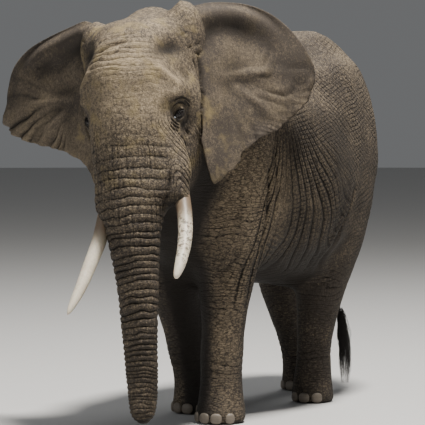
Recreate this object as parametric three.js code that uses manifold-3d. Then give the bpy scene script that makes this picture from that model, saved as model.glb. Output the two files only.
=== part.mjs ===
// A life-size still model of an adult male African bush elephant, walking slowly with its head turned
// a little to its left, its ears spread and its trunk hanging.
//
// Millimetres, +Z up. The elephant faces -Y and its own left side is +X. The shoulder line is drawn at
// Y = 0, and the finished group is shifted so that the origin lies on the ground under the middle of the
// whole body.
//
// The flesh is drawn as a field: a function of a point in space that is negative inside the animal.
// Columns (a row of oval sections along a curve) and lumps (ellipsoids) are melted into one another, and
// the field is then meshed in regions and parted by thin cuts into the named pieces.

import * as THREE from "three";
import { mergeVertices } from "three/addons/utils/BufferGeometryUtils.js";
import Module from "manifold-3d";

const wasm = await Module();
wasm.setup();

// ---------------------------------------------------------------- driving dimensions

const HIP_Y = 2060; // from the shoulder line back to the hip line
const GAP = 0.3; // left between neighbouring pieces
const HALF_GAP = GAP / 2;

const HEAD_CENTRE = [100, -1085, 2405]; // the middle of the head, level with its eyes
const HEAD_YAW = THREE.MathUtils.degToRad(16); // turned to its own left
const HEAD_ROLL = THREE.MathUtils.degToRad(5); // left side carried a little higher
const EYE_RADIUS = 38;
const EYE_SIDE = 325; // from the head's middle to an eye's centre
const EYE_FORWARD = -30;

const ELBOW_Z = 1250; // heights at which the legs are parted
const WRIST_Z = 470;
const KNEE_Z = 1000;
const ANKLE_Z = 360;
const BELLY_Z = 790; // the barrel's meshing stops here, below its lowest skin

const MELT_LIMB = 190; // how softly a leg runs into the barrel
const MELT_CROTCH = 50;
const MELT_SHEATH = 70;
const MELT_NECK = 150;
const MELT_NAPE = 200;
const MELT_SKULL = 150;
const MELT_FACE = 90;
const MELT_TRUNK = 70;

const HEAD_CELL = 110; // mesh size of head and neck
const BARREL_RINGS = 19;
const BARREL_SIDES = 18;
const LIMB_RINGS = 13;
const LIMB_SIDES = 12;

const FRONT_NAILS = { count: 4, spread: 32 }; // degrees round the foot from nail to nail
const HIND_NAILS = { count: 3, spread: 36 };

// ---------------------------------------------------------------- frames and curves

// 0 up to the first value and 1 from the second on, smooth between.
const smooth = (from, to, x) => {
  const t = THREE.MathUtils.clamp((x - from) / (to - from), 0, 1);
  return t * t * (3 - 2 * t);
};

const TINY = 1e-6;
const at = (x, y, z) => new THREE.Vector3(x, y, z);
const UP = at(0, 0, 1);
const BACK = at(0, 1, 0);
const LEFT = at(1, 0, 0);

// The head's own frame: X to its left, Y back and Z up.
const headFrame = (() => {
  const back = at(-Math.sin(HEAD_YAW), Math.cos(HEAD_YAW), 0);
  const level = at(Math.cos(HEAD_YAW), Math.sin(HEAD_YAW), 0);
  const left = level.clone().multiplyScalar(Math.cos(HEAD_ROLL)).addScaledVector(UP, Math.sin(HEAD_ROLL));
  return new THREE.Matrix4().makeBasis(left, back, left.clone().cross(back)).setPosition(...HEAD_CENTRE);
})();
const intoHead = headFrame.clone().invert();
const headLeft = at(0, 0, 0).setFromMatrixColumn(headFrame, 0);
const headForward = at(0, 0, 0).setFromMatrixColumn(headFrame, 1).negate();
const headUp = at(0, 0, 0).setFromMatrixColumn(headFrame, 2);

// A point of the head, from how far it lies left, forward and up of the head's centre.
const onHead = (left, forward, up) => at(left, -forward, up).applyMatrix4(headFrame);

// ---------------------------------------------------------------- fields

// Joins two fields with a fillet about as wide as the melt.
function melt(a, b, width) {
  const h = Math.max(width - Math.abs(a - b), 0) / width;
  return Math.min(a, b) - (h * h * width) / 4;
}

// Oval sections along a smooth spine. A station is [centre, half width, reach to the normal's side, reach
// away from it]; the normal is the spine's tangent crossed with the side direction.
function spineOf(stations, side, samples = 44) {
  const line = new THREE.CatmullRomCurve3(stations.map((s) => s[0]), false, "centripetal");
  const size = new THREE.CatmullRomCurve3(
    stations.map(([, half, toward, away]) => new THREE.Vector3(half, toward, away ?? toward)),
    false,
    "catmullrom",
    0.5,
  );
  const rows = [];
  for (let i = 0; i < samples; i++) {
    const t = i / (samples - 1);
    const along = line.getTangent(t).normalize();
    const normal = along.clone().cross(side).normalize();
    const across = normal.clone().cross(along).normalize();
    rows.push({ at: line.getPoint(t), along, normal, across, size: size.getPoint(t) });
  }
  return rows;
}

// The field of such a row of sections. "cap" is how far its round ends reach past the last stations.
function column(stations, side, cap = 60) {
  const rows = spineOf(stations, side);
  const offset = new THREE.Vector3();
  const along = new THREE.Vector3();
  return (p) => {
    let best = 0;
    let bestShare = 0;
    let bestDistance = Infinity;
    for (let i = 0; i + 1 < rows.length; i++) {
      const a = rows[i].at;
      along.subVectors(rows[i + 1].at, a);
      offset.subVectors(p, a);
      const share = THREE.MathUtils.clamp(offset.dot(along) / along.lengthSq(), 0, 1);
      const distance = offset.addScaledVector(along, -share).lengthSq();
      if (distance < bestDistance) [bestDistance, best, bestShare] = [distance, i, share];
    }
    const [a, b] = [rows[best], rows[best + 1]];
    const mix = (f) => f(a) * (1 - bestShare) + f(b) * bestShare;
    offset.set(mix((r) => r.at.x), mix((r) => r.at.y), mix((r) => r.at.z)).subVectors(p, offset);
    const across = mix((r) => offset.dot(r.across));
    const normal = mix((r) => offset.dot(r.normal));
    const beyond = mix((r) => offset.dot(r.along));
    const half = mix((r) => r.size.x);
    const reach = mix((r) => (normal > 0 ? r.size.y : r.size.z));
    const rho = Math.hypot(across / half, normal / reach, beyond / cap);
    const k = Math.hypot(across, normal, beyond);
    return rho < TINY ? -Math.min(half, reach) : k - k / rho;
  };
}

// An ellipsoid in the head's frame.
function headLump(centre, radii) {
  const q = new THREE.Vector3();
  return (p) => {
    q.copy(p).applyMatrix4(intoHead).sub(centre);
    const k = q.length();
    q.divide(radii);
    const rho = q.length();
    return rho < TINY ? -Math.min(...radii.toArray()) : k - k / rho;
  };
}
const lump = (left, forward, up, wide, deep, tall) =>
  headLump(at(left, -forward, up), at(wide, deep, tall));

// ---------------------------------------------------------------- barrel and neck

// Sections across the body, from the rump to the chest: [along, half width, top, bottom, share of the
// height at which the section is widest].
const BARREL = [
  [HIP_Y + 490, 60, 2390, 2230, 0.5],
  [HIP_Y + 450, 230, 2610, 2010, 0.5],
  [HIP_Y + 360, 350, 2870, 1760, 0.5],
  [HIP_Y + 200, 445, 3000, 1500, 0.5],
  [HIP_Y - 80, 530, 3110, 1230, 0.48],
  [HIP_Y - 420, 640, 3150, 1050, 0.45],
  [HIP_Y - 800, 735, 3070, 1000, 0.42],
  [HIP_Y - 1200, 775, 3035, 1030, 0.42],
  [HIP_Y - 1620, 705, 3080, 1080, 0.45],
  [60, 600, 3140, 1130, 0.48],
  [-240, 480, 3070, 1240, 0.52],
  [-480, 360, 2900, 1450, 0.52],
  [-640, 200, 2650, 1780, 0.52],
];
const BARREL_POWER = 2.2; // 2 is an ellipse, more is squarer
const BARREL_CAP = 60;
const SECTIONS = 120;

const barrelLine = new THREE.CatmullRomCurve3(
  BARREL.map(([y, half]) => at(half, -y, 0)),
  false,
  "centripetal",
);
const barrelHeights = new THREE.CatmullRomCurve3(
  BARREL.map(([, , top, bottom, widest]) => at(top, bottom, bottom + (top - bottom) * widest)),
  false,
  "catmullrom",
  0.5,
);
const barrelSections = Array.from({ length: SECTIONS + 1 }, (_, i) => {
  const line = barrelLine.getPoint(i / SECTIONS);
  const heights = barrelHeights.getPoint(i / SECTIONS);
  return { y: -line.y, half: line.x, top: heights.x, bottom: heights.y, middle: heights.z };
});

// The section at a place along the body.
function barrelAt(y) {
  const last = barrelSections.length - 1;
  if (y >= barrelSections[0].y) return barrelSections[0];
  if (y <= barrelSections[last].y) return barrelSections[last];
  let [low, high] = [0, last];
  while (high - low > 1) {
    const mid = (low + high) >> 1;
    if (barrelSections[mid].y > y) low = mid;
    else high = mid;
  }
  const [a, b] = [barrelSections[low], barrelSections[high]];
  const share = (a.y - y) / (a.y - b.y);
  return Object.fromEntries(Object.keys(a).map((key) => [key, a[key] + (b[key] - a[key]) * share]));
}

function barrel(p) {
  const section = barrelAt(p.y);
  const rise = p.z - section.middle;
  const deep = rise > 0 ? section.top - section.middle : section.middle - section.bottom;
  const past = Math.max(p.y - barrelSections[0].y, barrelSections.at(-1).y - p.y, 0);
  const sum = Math.abs(p.x / section.half) ** BARREL_POWER + Math.abs(rise / deep) ** BARREL_POWER;
  const rho = Math.hypot(sum ** (1 / BARREL_POWER), past / BARREL_CAP);
  const k = Math.hypot(p.x, rise, past);
  return rho < TINY ? -Math.min(section.half, deep) : k - k / rho;
}

const neck = column(
  [
    [at(0, -60, 2380), 430, 690, 700],
    [at(15, -380, 2390), 400, 650, 690],
    [at(50, -640, 2400), 375, 650, 640],
    [at(80, -860, 2420), 350, 660, 560],
  ],
  LEFT,
);

// ---------------------------------------------------------------- legs

// Stations from the shoulder or hip down to the sole. "side" is +1 for the left legs and -1 for the right;
// a leg's own line is given as [across, along, height, half width, fore, aft].
const legStations = (side, rows) =>
  rows.map(([x, y, z, half, fore, aft]) => [at(side * x, y, z), half, fore, aft]);

const LEGS = {
  forelimb_left: legStations(1, [
    [330, 60, 2300, 190, 290, 330],
    [375, -30, 1880, 225, 320, 330],
    [345, -20, 1520, 235, 265, 300],
    [300, 10, 1220, 226, 235, 262],
    [274, 0, 950, 190, 198, 210],
    [260, -5, 700, 166, 176, 176],
    [253, -8, 500, 172, 184, 176],
    [248, -8, 320, 160, 172, 176],
    [248, -14, 150, 180, 202, 196],
    [248, -18, 20, 196, 222, 208],
    [248, -18, -110, 196, 222, 208],
  ]),
  forelimb_right: legStations(-1, [
    [330, 60, 2300, 190, 290, 330],
    [372, -10, 1880, 225, 320, 330],
    [345, 30, 1520, 235, 265, 300],
    [305, 90, 1220, 222, 235, 262],
    [280, 185, 950, 186, 198, 210],
    [262, 275, 700, 164, 176, 176],
    [250, 345, 500, 170, 184, 176],
    [242, 400, 320, 160, 172, 176],
    [238, 430, 150, 180, 202, 196],
    [238, 436, 20, 196, 222, 208],
    [238, 436, -110, 196, 222, 208],
  ]),
  hindlimb_left: legStations(1, [
    [260, HIP_Y + 10, 2440, 170, 230, 230],
    [315, HIP_Y - 50, 2000, 250, 380, 330],
    [322, HIP_Y - 190, 1600, 250, 380, 300],
    [318, HIP_Y - 320, 1320, 242, 320, 300],
    [293, HIP_Y - 420, 1080, 216, 262, 262],
    [282, HIP_Y - 470, 860, 184, 208, 208],
    [266, HIP_Y - 510, 620, 150, 160, 166],
    [256, HIP_Y - 525, 420, 142, 152, 160],
    [250, HIP_Y - 520, 280, 148, 162, 166],
    [248, HIP_Y - 518, 130, 166, 186, 182],
    [248, HIP_Y - 520, 20, 178, 204, 192],
    [248, HIP_Y - 520, -110, 178, 204, 192],
  ]),
  hindlimb_right: legStations(-1, [
    [260, HIP_Y + 10, 2440, 170, 230, 230],
    [315, HIP_Y, 2000, 250, 380, 350],
    [322, HIP_Y - 40, 1600, 250, 380, 330],
    [314, HIP_Y - 80, 1320, 240, 320, 305],
    [290, HIP_Y - 105, 1080, 212, 262, 262],
    [274, HIP_Y - 70, 860, 180, 204, 208],
    [256, HIP_Y + 20, 620, 148, 160, 166],
    [246, HIP_Y + 105, 420, 142, 152, 160],
    [240, HIP_Y + 160, 280, 148, 162, 166],
    [238, HIP_Y + 196, 130, 166, 186, 182],
    [238, HIP_Y + 206, 20, 178, 204, 192],
    [238, HIP_Y + 206, -110, 178, 204, 192],
  ]),
};
const limb = Object.fromEntries(
  Object.entries(LEGS).map(([name, stations]) => [name, column(stations, LEFT)]),
);

// The sheath under a bull's belly.
const sheath = column(
  [
    [at(0, HIP_Y - 820, 1060), 120, 120, 110],
    [at(0, HIP_Y - 640, 960), 105, 105, 100],
    [at(0, HIP_Y - 520, 870), 76, 80, 76],
  ],
  LEFT,
);

function bodyField(p) {
  const fore = Math.min(limb.forelimb_left(p), limb.forelimb_right(p));
  const hind = melt(limb.hindlimb_left(p), limb.hindlimb_right(p), MELT_CROTCH);
  const torso = melt(melt(barrel(p), neck(p), MELT_NECK), sheath(p), MELT_SHEATH);
  return melt(melt(torso, fore, MELT_LIMB), hind, MELT_LIMB);
}

// ---------------------------------------------------------------- head

const cranium = lump(0, -190, 305, 370, 400, 440);
const forehead = lump(0, 40, 190, 300, 290, 420);
const noseRoot = lump(0, 130, -120, 285, 240, 330);
const SKULL_SIDES = [1, -1].flatMap((s) => [
  lump(s * 285, -40, 175, 120, 190, 100), // brow ridge
  lump(s * 215, -60, -50, 120, 215, 170), // cheekbone under the eye
  lump(s * 300, -280, 60, 165, 190, 330), // base of the ear
  lump(s * 195, -250, -330, 180, 280, 330), // chewing muscle
  lump(s * 175, -190, 500, 170, 220, 220), // crown
]);
const nape = lump(60, -560, 510, 290, 330, 345);
const EAR_STALKS = [lump(370, -390, 600, 135, 175, 290), lump(-345, -390, 520, 135, 175, 260)];
const sheathStations = (side, out, low) => [
  [onHead(side * (out * 0.4 + 70), 20, -120), 140, 150, 150],
  [onHead(side * (out - 30), 110, -340), 114, 130, 130],
  [onHead(side * out, 190, low + 70), 108, 110, 112],
  [onHead(side * (out + 15), 232, low - 20), 94, 92, 96],
];
const TUSK_MOUTH = {
  left: { side: 1, out: 350, low: -605 },
  right: { side: -1, out: 185, low: -665 },
};
const tuskSheath = Object.fromEntries(
  Object.entries(TUSK_MOUTH).map(([name, m]) => [
    name,
    column(sheathStations(m.side, m.out, m.low), headLeft, 50),
  ]),
);

// ---------------------------------------------------------------- trunk

const TRUNK = [
  [onHead(0, 10, -60), 300, 300, 260],
  [onHead(0, 90, -300), 296, 300, 250],
  [onHead(4, 165, -520), 274, 262, 210],
  [onHead(-4, 215, -700), 247, 222, 185],
  [onHead(-2, 240, -880), 206, 194, 172],
  [onHead(0, 250, -1080), 176, 172, 158],
  [onHead(-4, 255, -1300), 152, 150, 142],
  [onHead(-18, 252, -1540), 138, 137, 132],
  [onHead(-30, 244, -1780), 128, 126, 124],
  [onHead(-38, 240, -1980), 120, 116, 116],
  [onHead(-40, 258, -2120), 108, 102, 106],
  [onHead(-40, 300, -2215), 94, 84, 94],
  [onHead(-40, 322, -2256), 62, 50, 62],
];
const trunkColumn = column(TRUNK, headLeft, 40);
const TRUNK_CUTS = [-760, -1180, -1630, -2060]; // heights on the head frame where its lengths part

function headField(p) {
  let f = melt(melt(cranium(p), forehead(p), MELT_SKULL), noseRoot(p), MELT_SKULL);
  for (const side of SKULL_SIDES) f = melt(f, side(p), MELT_FACE);
  f = melt(f, nape(p), MELT_NAPE);
  for (const stalk of EAR_STALKS) f = melt(f, stalk(p), MELT_FACE);
  for (const tube of Object.values(tuskSheath)) f = melt(f, tube(p), MELT_FACE);
  return melt(f, trunkColumn(p), MELT_TRUNK);
}

const flesh = (p) => melt(bodyField(p), headField(p), MELT_NECK);

// ---------------------------------------------------------------- meshing

const CORNERS = [0, 1, 2, 3, 4, 5, 6, 7].map((c) => [c & 1, (c >> 1) & 1, (c >> 2) & 1]);
const EDGES = CORNERS.flatMap((a) =>
  [0, 1, 2].filter((axis) => !a[axis]).map((axis) => [a, a.map((c, n) => (n === axis ? 1 : c))]),
);
const PULLS = 3; // times that a vertex is moved towards the surface
const FARTHEST_PULL = 0.4; // of a cell
const SLOPE_STEP = 0.02; // of a cell
const SHELL = 0.05; // of a cell: how far outside the grid's outermost values are held

// A field's values on a grid of cells. The outermost values are held outside, so that the mesh closes.
function sampled(field, box, cell) {
  const counts = box.getSize(at(0, 0, 0)).toArray().map((s) => Math.ceil(s / cell) + 1);
  const [nx, ny, nz] = counts;
  const node = (i, j, k) => i + nx * (j + ny * k);
  const place = (i, j, k) => at(i, j, k).multiplyScalar(cell).add(box.min);
  const values = new Float64Array(nx * ny * nz);
  const onEdge = (...at3) => at3.some((n, axis) => n === 0 || n === counts[axis] - 1);
  for (let k = 0; k < nz; k++)
    for (let j = 0; j < ny; j++)
      for (let i = 0; i < nx; i++) {
        const f = field(place(i, j, k));
        values[node(i, j, k)] = onEdge(i, j, k) ? Math.max(f, cell * SHELL) : f;
      }
  const eachCell = (visit) => {
    for (let k = 0; k + 1 < nz; k++)
      for (let j = 0; j + 1 < ny; j++) for (let i = 0; i + 1 < nx; i++) visit(i, j, k);
  };
  return { node, place, values, eachCell };
}

// Moves a point onto the surface where the field is zero.
function pulled(point, field, cell) {
  const slope = at(0, 0, 0);
  const probe = at(0, 0, 0);
  const step = cell * SLOPE_STEP;
  for (let round = 0; round < PULLS; round++) {
    const here = field(point);
    for (const axis of ["x", "y", "z"]) {
      probe.copy(point)[axis] += step;
      slope[axis] = (field(probe) - here) / step;
    }
    const most = cell * FARTHEST_PULL;
    point.addScaledVector(slope, THREE.MathUtils.clamp(-here / slope.lengthSq(), -most, most));
  }
  return point;
}

const geometryFrom = (points, index) =>
  new THREE.BufferGeometry()
    .setAttribute("position", new THREE.Float32BufferAttribute(points.flatMap((v) => v.toArray()), 3))
    .setIndex(index);

// The surface where a field is zero, as one closed mesh of even quads inside a box. Each grid cell that
// the surface crosses gets one vertex, which is then pulled onto the surface.
function surfaceOf(field, box, cell) {
  const { node, place, values, eachCell } = sampled(field, box, cell);
  const vertexOf = new Map();
  const points = [];
  eachCell((i, j, k) => {
    const sum = at(0, 0, 0);
    let crossings = 0;
    for (const [a, b] of EDGES) {
      const [start, end] = [a, b].map((c) => [i + c[0], j + c[1], k + c[2]]);
      const [fa, fb] = [values[node(...start)], values[node(...end)]];
      if (fa < 0 === fb < 0) continue;
      sum.add(place(...start).lerp(place(...end), fa / (fa - fb)));
      crossings++;
    }
    if (!crossings) return;
    vertexOf.set(node(i, j, k), points.length);
    points.push(pulled(sum.divideScalar(crossings), field, cell));
  });

  const index = [];
  const quad = (a, b, c, d, flip) => {
    const [p, q, r, s] = flip ? [a, d, c, b] : [a, b, c, d];
    const short = points[p].distanceToSquared(points[r]) < points[q].distanceToSquared(points[s]);
    index.push(...(short ? [p, q, r, p, r, s] : [p, q, s, q, r, s]));
  };
  eachCell((i, j, k) => {
    const inside = values[node(i, j, k)] < 0;
    const crosses = (di, dj, dk) => inside !== values[node(i + di, j + dj, k + dk)] < 0;
    const near = (di, dj, dk) => vertexOf.get(node(i - di, j - dj, k - dk));
    if (j && k && crosses(1, 0, 0)) quad(near(0, 1, 1), near(0, 0, 1), near(0, 0, 0), near(0, 1, 0), !inside);
    if (i && k && crosses(0, 1, 0)) quad(near(1, 0, 1), near(1, 0, 0), near(0, 0, 0), near(0, 0, 1), !inside);
    if (i && j && crosses(0, 0, 1)) quad(near(1, 1, 0), near(0, 1, 0), near(0, 0, 0), near(1, 0, 0), !inside);
  });
  return geometryFrom(points, index);
}

// ---------------------------------------------------------------- solids

function solidOf(geometry) {
  const plain = geometry.clone();
  for (const name of Object.keys(plain.attributes)) if (name !== "position") plain.deleteAttribute(name);
  const merged = mergeVertices(plain, 1e-3);
  return new wasm.Manifold(
    new wasm.Mesh({
      numProp: 3,
      vertProperties: new Float32Array(merged.attributes.position.array),
      triVerts: new Uint32Array(merged.index.array),
    }),
  );
}

function geometryOf(solid) {
  const mesh = solid.getMesh();
  const geometry = new THREE.BufferGeometry()
    .setAttribute("position", new THREE.BufferAttribute(new Float32Array(mesh.vertProperties), 3))
    .setIndex(new THREE.BufferAttribute(new Uint32Array(mesh.triVerts), 1));
  geometry.computeVertexNormals();
  return geometry;
}

// The same solid with every point moved out by a distance, as a cutter for a piece that must stay clear.
function grown(solid, distance = 2 * GAP) {
  const geometry = geometryOf(solid);
  const { position, normal } = geometry.attributes;
  for (let i = 0; i < position.count; i++)
    position.setXYZ(
      i,
      position.getX(i) + normal.getX(i) * distance,
      position.getY(i) + normal.getY(i) * distance,
      position.getZ(i) + normal.getZ(i) * distance,
    );
  return solidOf(geometry);
}

// The largest piece of a solid, without the crumbs that a cut may leave.
const mainPiece = (solid) => solid.decompose().reduce((a, b) => (b.volume() > a.volume() ? b : a));

// What lies on the side that the direction points to, past the point, with half a gap left there.
const beyond = (solid, direction, point) =>
  solid.trimByPlane(direction.toArray(), direction.dot(point) + HALF_GAP);

// Parts a solid at a plane: first what lies on the direction's side, then the rest.
const parted = (solid, direction, point) => [
  beyond(solid, direction, point),
  beyond(solid, direction.clone().negate(), point),
];

// A closed tube of rings along a spine, with flat ends. "reach" gives each ring point's distance out.
function tube(rows, sides, reach) {
  const points = [];
  for (const row of rows)
    for (let s = 0; s < sides; s++) {
      const angle = (s / sides) * Math.PI * 2;
      const out = row.across.clone().multiplyScalar(Math.cos(angle));
      out.addScaledVector(row.normal, Math.sin(angle));
      points.push(row.at.clone().addScaledVector(out, reach(row, angle, out)));
    }
  const index = [];
  for (let i = 0; i + 1 < rows.length; i++)
    for (let s = 0; s < sides; s++) {
      const [a, b] = [i * sides + s, i * sides + ((s + 1) % sides)];
      index.push(a, b, a + sides, b, b + sides, a + sides);
    }
  const last = (rows.length - 1) * sides;
  for (let s = 1; s + 1 < sides; s++) index.push(0, s + 1, s, last, last + s, last + s + 1);
  return solidOf(geometryFrom(points, index));
}

// The radius of a station's oval in a direction, plus a margin.
const ovalReach = (margin) => (row, angle) => {
  const deep = Math.sin(angle) > 0 ? row.size.y : row.size.z;
  return 1 / Math.hypot(Math.cos(angle) / row.size.x, Math.sin(angle) / deep) + margin;
};

const SKIN_STEPS = 12; // looks along a ray for the skin, then halvings of the step that it lies in

// How far it is from the spine to the skin, up to a limit past the station's own oval.
const skinReach = (field, margin) => (row, angle, out) => {
  const limit = ovalReach(margin)(row, angle);
  const probe = at(0, 0, 0);
  const outsideAt = (d) => field(probe.copy(row.at).addScaledVector(out, d)) > 0;
  let step = 1;
  while (step <= SKIN_STEPS && !outsideAt((limit * step) / SKIN_STEPS)) step++;
  if (step > SKIN_STEPS) return limit;
  let [inside, outside] = [(limit * (step - 1)) / SKIN_STEPS, (limit * step) / SKIN_STEPS];
  for (let round = 0; round < SKIN_STEPS; round++) {
    const middle = (inside + outside) / 2;
    if (outsideAt(middle)) outside = middle;
    else inside = middle;
  }
  return inside;
};

const skin = {}; // every finished solid, by name

// ---------------------------------------------------------------- legs as solids

// How far round a leg's own oval the cut from the barrel runs: wide at the shoulder, close at the elbow.
const cutterMargin = (row) => 12 + 45 * smooth(1000, 1500, row.at.z);
const LIMB_TOP = { forelimb: 1800, hindlimb: 1760 }; // height of a leg's upper cut
const LIMB_CUT_OUT = 300; // where that height is measured, out from the middle
const LIMB_CUT_SLANT = 30; // degrees that the cut slants down and in

// A leg is cut from the barrel by a wide tube round it, whose top slants down and inwards. The same tube,
// a gap wider, is taken out of the barrel.
function limbCutter(name, grow) {
  const side = name.endsWith("left") ? 1 : -1;
  const top = at(side * LIMB_CUT_OUT, 0, LIMB_TOP[name.split("_")[0]]);
  const turn = THREE.MathUtils.degToRad(LIMB_CUT_SLANT);
  const slant = at(side * Math.sin(turn), 0, -Math.cos(turn));
  const rows = spineOf(LEGS[name], LEFT, LIMB_RINGS);
  const whole = tube(rows, LIMB_SIDES, (row, angle) => ovalReach(cutterMargin(row) + grow)(row, angle));
  return whole.trimByPlane(slant.toArray(), slant.dot(top) - grow);
}

const LIMB_PARTS = {
  forelimb: { names: ["upper_arm", "forearm", "forefoot"], heights: [ELBOW_Z, WRIST_Z] },
  hindlimb: { names: ["thigh", "shank", "hindfoot"], heights: [KNEE_Z, ANKLE_Z] },
};

function makeLimb(limbName) {
  const [kind, sideName] = limbName.split("_");
  const surface = tube(spineOf(LEGS[limbName], LEFT, LIMB_RINGS), LIMB_SIDES, (row, angle, out) =>
    skinReach(bodyField, 2.2 * cutterMargin(row))(row, angle, out),
  );
  let rest = mainPiece(surface.intersect(limbCutter(limbName, 0)).trimByPlane(UP.toArray(), 0));
  const { names, heights } = LIMB_PARTS[kind];
  names.forEach((name, i) => {
    const [above, below] = i < heights.length ? parted(rest, UP, at(0, 0, heights[i])) : [rest, null];
    skin[`${name}_${sideName}`] = mainPiece(above);
    rest = below;
  });
}
for (const name of Object.keys(LEGS)) makeLimb(name);

const NAIL = { half: 51, smaller: 14, deep: 27, tall: 48, high: 54, tilt: -0.2, turned: 6 };
const NAIL_SUNK = 0.92; // share of the sole's radius at which a nail is centred

// Nails lie round the front of a foot, each an oval half sunk in the skin, largest in the middle.
function makeNails(footName, limbName, { count, spread }, nailName) {
  const [centre, half, fore] = LEGS[limbName].at(-2);
  const outward = limbName.endsWith("left") ? 1 : -1;
  const cutter = grown(skin[footName]);
  for (let i = 0; i < count; i++) {
    const fromMiddle = i - (count - 1) / 2;
    const turn = THREE.MathUtils.degToRad((fromMiddle * spread + NAIL.turned) * outward);
    const less = (NAIL.smaller * Math.abs(fromMiddle)) / count;
    const nail = new THREE.SphereGeometry(1, 6, 4);
    nail.scale(NAIL.half - less, NAIL.deep, NAIL.tall - less);
    nail.rotateX(NAIL.tilt);
    nail.rotateZ(turn);
    nail.translate(
      centre.x + Math.sin(turn) * half * NAIL_SUNK,
      centre.y - Math.cos(turn) * fore * NAIL_SUNK,
      NAIL.high,
    );
    skin[`${nailName}_${i + 1}`] = mainPiece(solidOf(nail).subtract(cutter));
  }
}
for (const side of ["left", "right"]) {
  makeNails(`forefoot_${side}`, `forelimb_${side}`, FRONT_NAILS, `toenail_fore_${side}`);
  makeNails(`hindfoot_${side}`, `hindlimb_${side}`, HIND_NAILS, `toenail_hind_${side}`);
}

// ---------------------------------------------------------------- barrel and neck as solids

const NECK_CUT = at(0, -395, 2400); // the neck parts from the shoulders here
const NECK_LINE = at(0.06, -1, 0.1).normalize(); // towards the head
const HEAD_CUT = onHead(0, -500, 0);
const HEAD_LINE = headForward.clone().addScaledVector(headUp, 0.1).normalize();
const CHEST_CUT = at(0, 560, 0);
const LOIN_CUT = at(0, HIP_Y - 600, 0);

// The barrel is a tube of rings pushed out to the skin, with a small last ring that closes the rump.
const barrelRows = Array.from({ length: BARREL_RINGS }, (_, i) => {
  const section = barrelSections[Math.round((i / (BARREL_RINGS - 1)) * (barrelSections.length - 1))];
  const size = at(section.half, section.top - section.middle, section.middle - section.bottom);
  const along = BACK.clone().negate();
  return { at: at(0, section.y, section.middle), along, normal: UP, across: LEFT, size };
});
const barrelMesh = tube(barrelRows, BARREL_SIDES, skinReach(flesh, 120));
const limbless = Object.keys(LEGS).reduce(
  (solid, name) => solid.subtract(limbCutter(name, GAP)),
  beyond(barrelMesh, NECK_LINE.clone().negate(), NECK_CUT).trimByPlane(UP.toArray(), BELLY_Z),
);
const [backHalf, chest] = parted(mainPiece(limbless), BACK, CHEST_CUT);
const [haunch, belly] = parted(backHalf, BACK, LOIN_CUT);
skin.chest = mainPiece(chest);
skin.belly = mainPiece(belly);
skin.haunch = mainPiece(haunch);

const headBounds = new THREE.Box3();
for (const x of [-620, 620])
  for (const y of [-700, 560]) for (const z of [-1010, 1010]) headBounds.expandByPoint(onHead(x, y, z));
const headMesh = solidOf(surfaceOf(flesh, headBounds, HEAD_CELL));
const [skull, neckPart] = parted(beyond(headMesh, NECK_LINE, NECK_CUT), HEAD_LINE, HEAD_CUT);
skin.neck = mainPiece(neckPart);

// ---------------------------------------------------------------- trunk, jaw

const TRUNK_RINGS = 27;
const HIDDEN_RINGS = 6; // inside the head
const TRUNK_SIDES = 12;
const trunkCut = (high) => onHead(0, 0, high);
const trunkRows = spineOf(TRUNK, headLeft, TRUNK_RINGS).slice(HIDDEN_RINGS);
const trunkTube = tube(trunkRows, TRUNK_SIDES, ovalReach(0));
let trunkRest = beyond(trunkTube, headUp.clone().negate(), trunkCut(TRUNK_CUTS[0]));
["trunk_upper", "trunk_middle", "trunk_lower", "trunk_tip"].forEach((name, i) => {
  const cut = TRUNK_CUTS[i + 1];
  const [above, below] = cut ? parted(trunkRest, headUp, trunkCut(cut)) : [trunkRest, null];
  skin[name] = mainPiece(above);
  trunkRest = below;
});

let head = mainPiece(beyond(skull, headUp, trunkCut(TRUNK_CUTS[0])));

// The lower jaw hangs behind the trunk: broad between the cheeks and drawn out to a pointed lip.
const JAW = [
  [onHead(0, -330, -470), 190, 150, 190],
  [onHead(0, -230, -590), 165, 140, 160],
  [onHead(0, -130, -700), 118, 105, 112],
  [onHead(0, -60, -790), 74, 66, 66],
  [onHead(0, -25, -850), 34, 28, 30],
];
const jaw = tube(spineOf(JAW, headLeft, 9), 12, ovalReach(0));
skin.lower_jaw = mainPiece(
  [head, skin.neck, skin.trunk_upper].reduce((solid, other) => solid.subtract(grown(other)), jaw),
);

// ---------------------------------------------------------------- eyes, tusks

const SOCKET_GAP = 2;
const TUSK_GAP = 1.5;
const eyeball = (side, radius) => {
  const place = onHead(side * EYE_SIDE, EYE_FORWARD, 0);
  return solidOf(new THREE.SphereGeometry(radius, 8, 6).translate(place.x, place.y, place.z));
};
for (const [name, side] of [["left", 1], ["right", -1]]) {
  skin[`eye_${name}`] = eyeball(side, EYE_RADIUS);
  head = head.subtract(eyeball(side, EYE_RADIUS + SOCKET_GAP));
}

const TUSK_RINGS = 12;
const TUSK_SIDES = 10;

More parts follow.
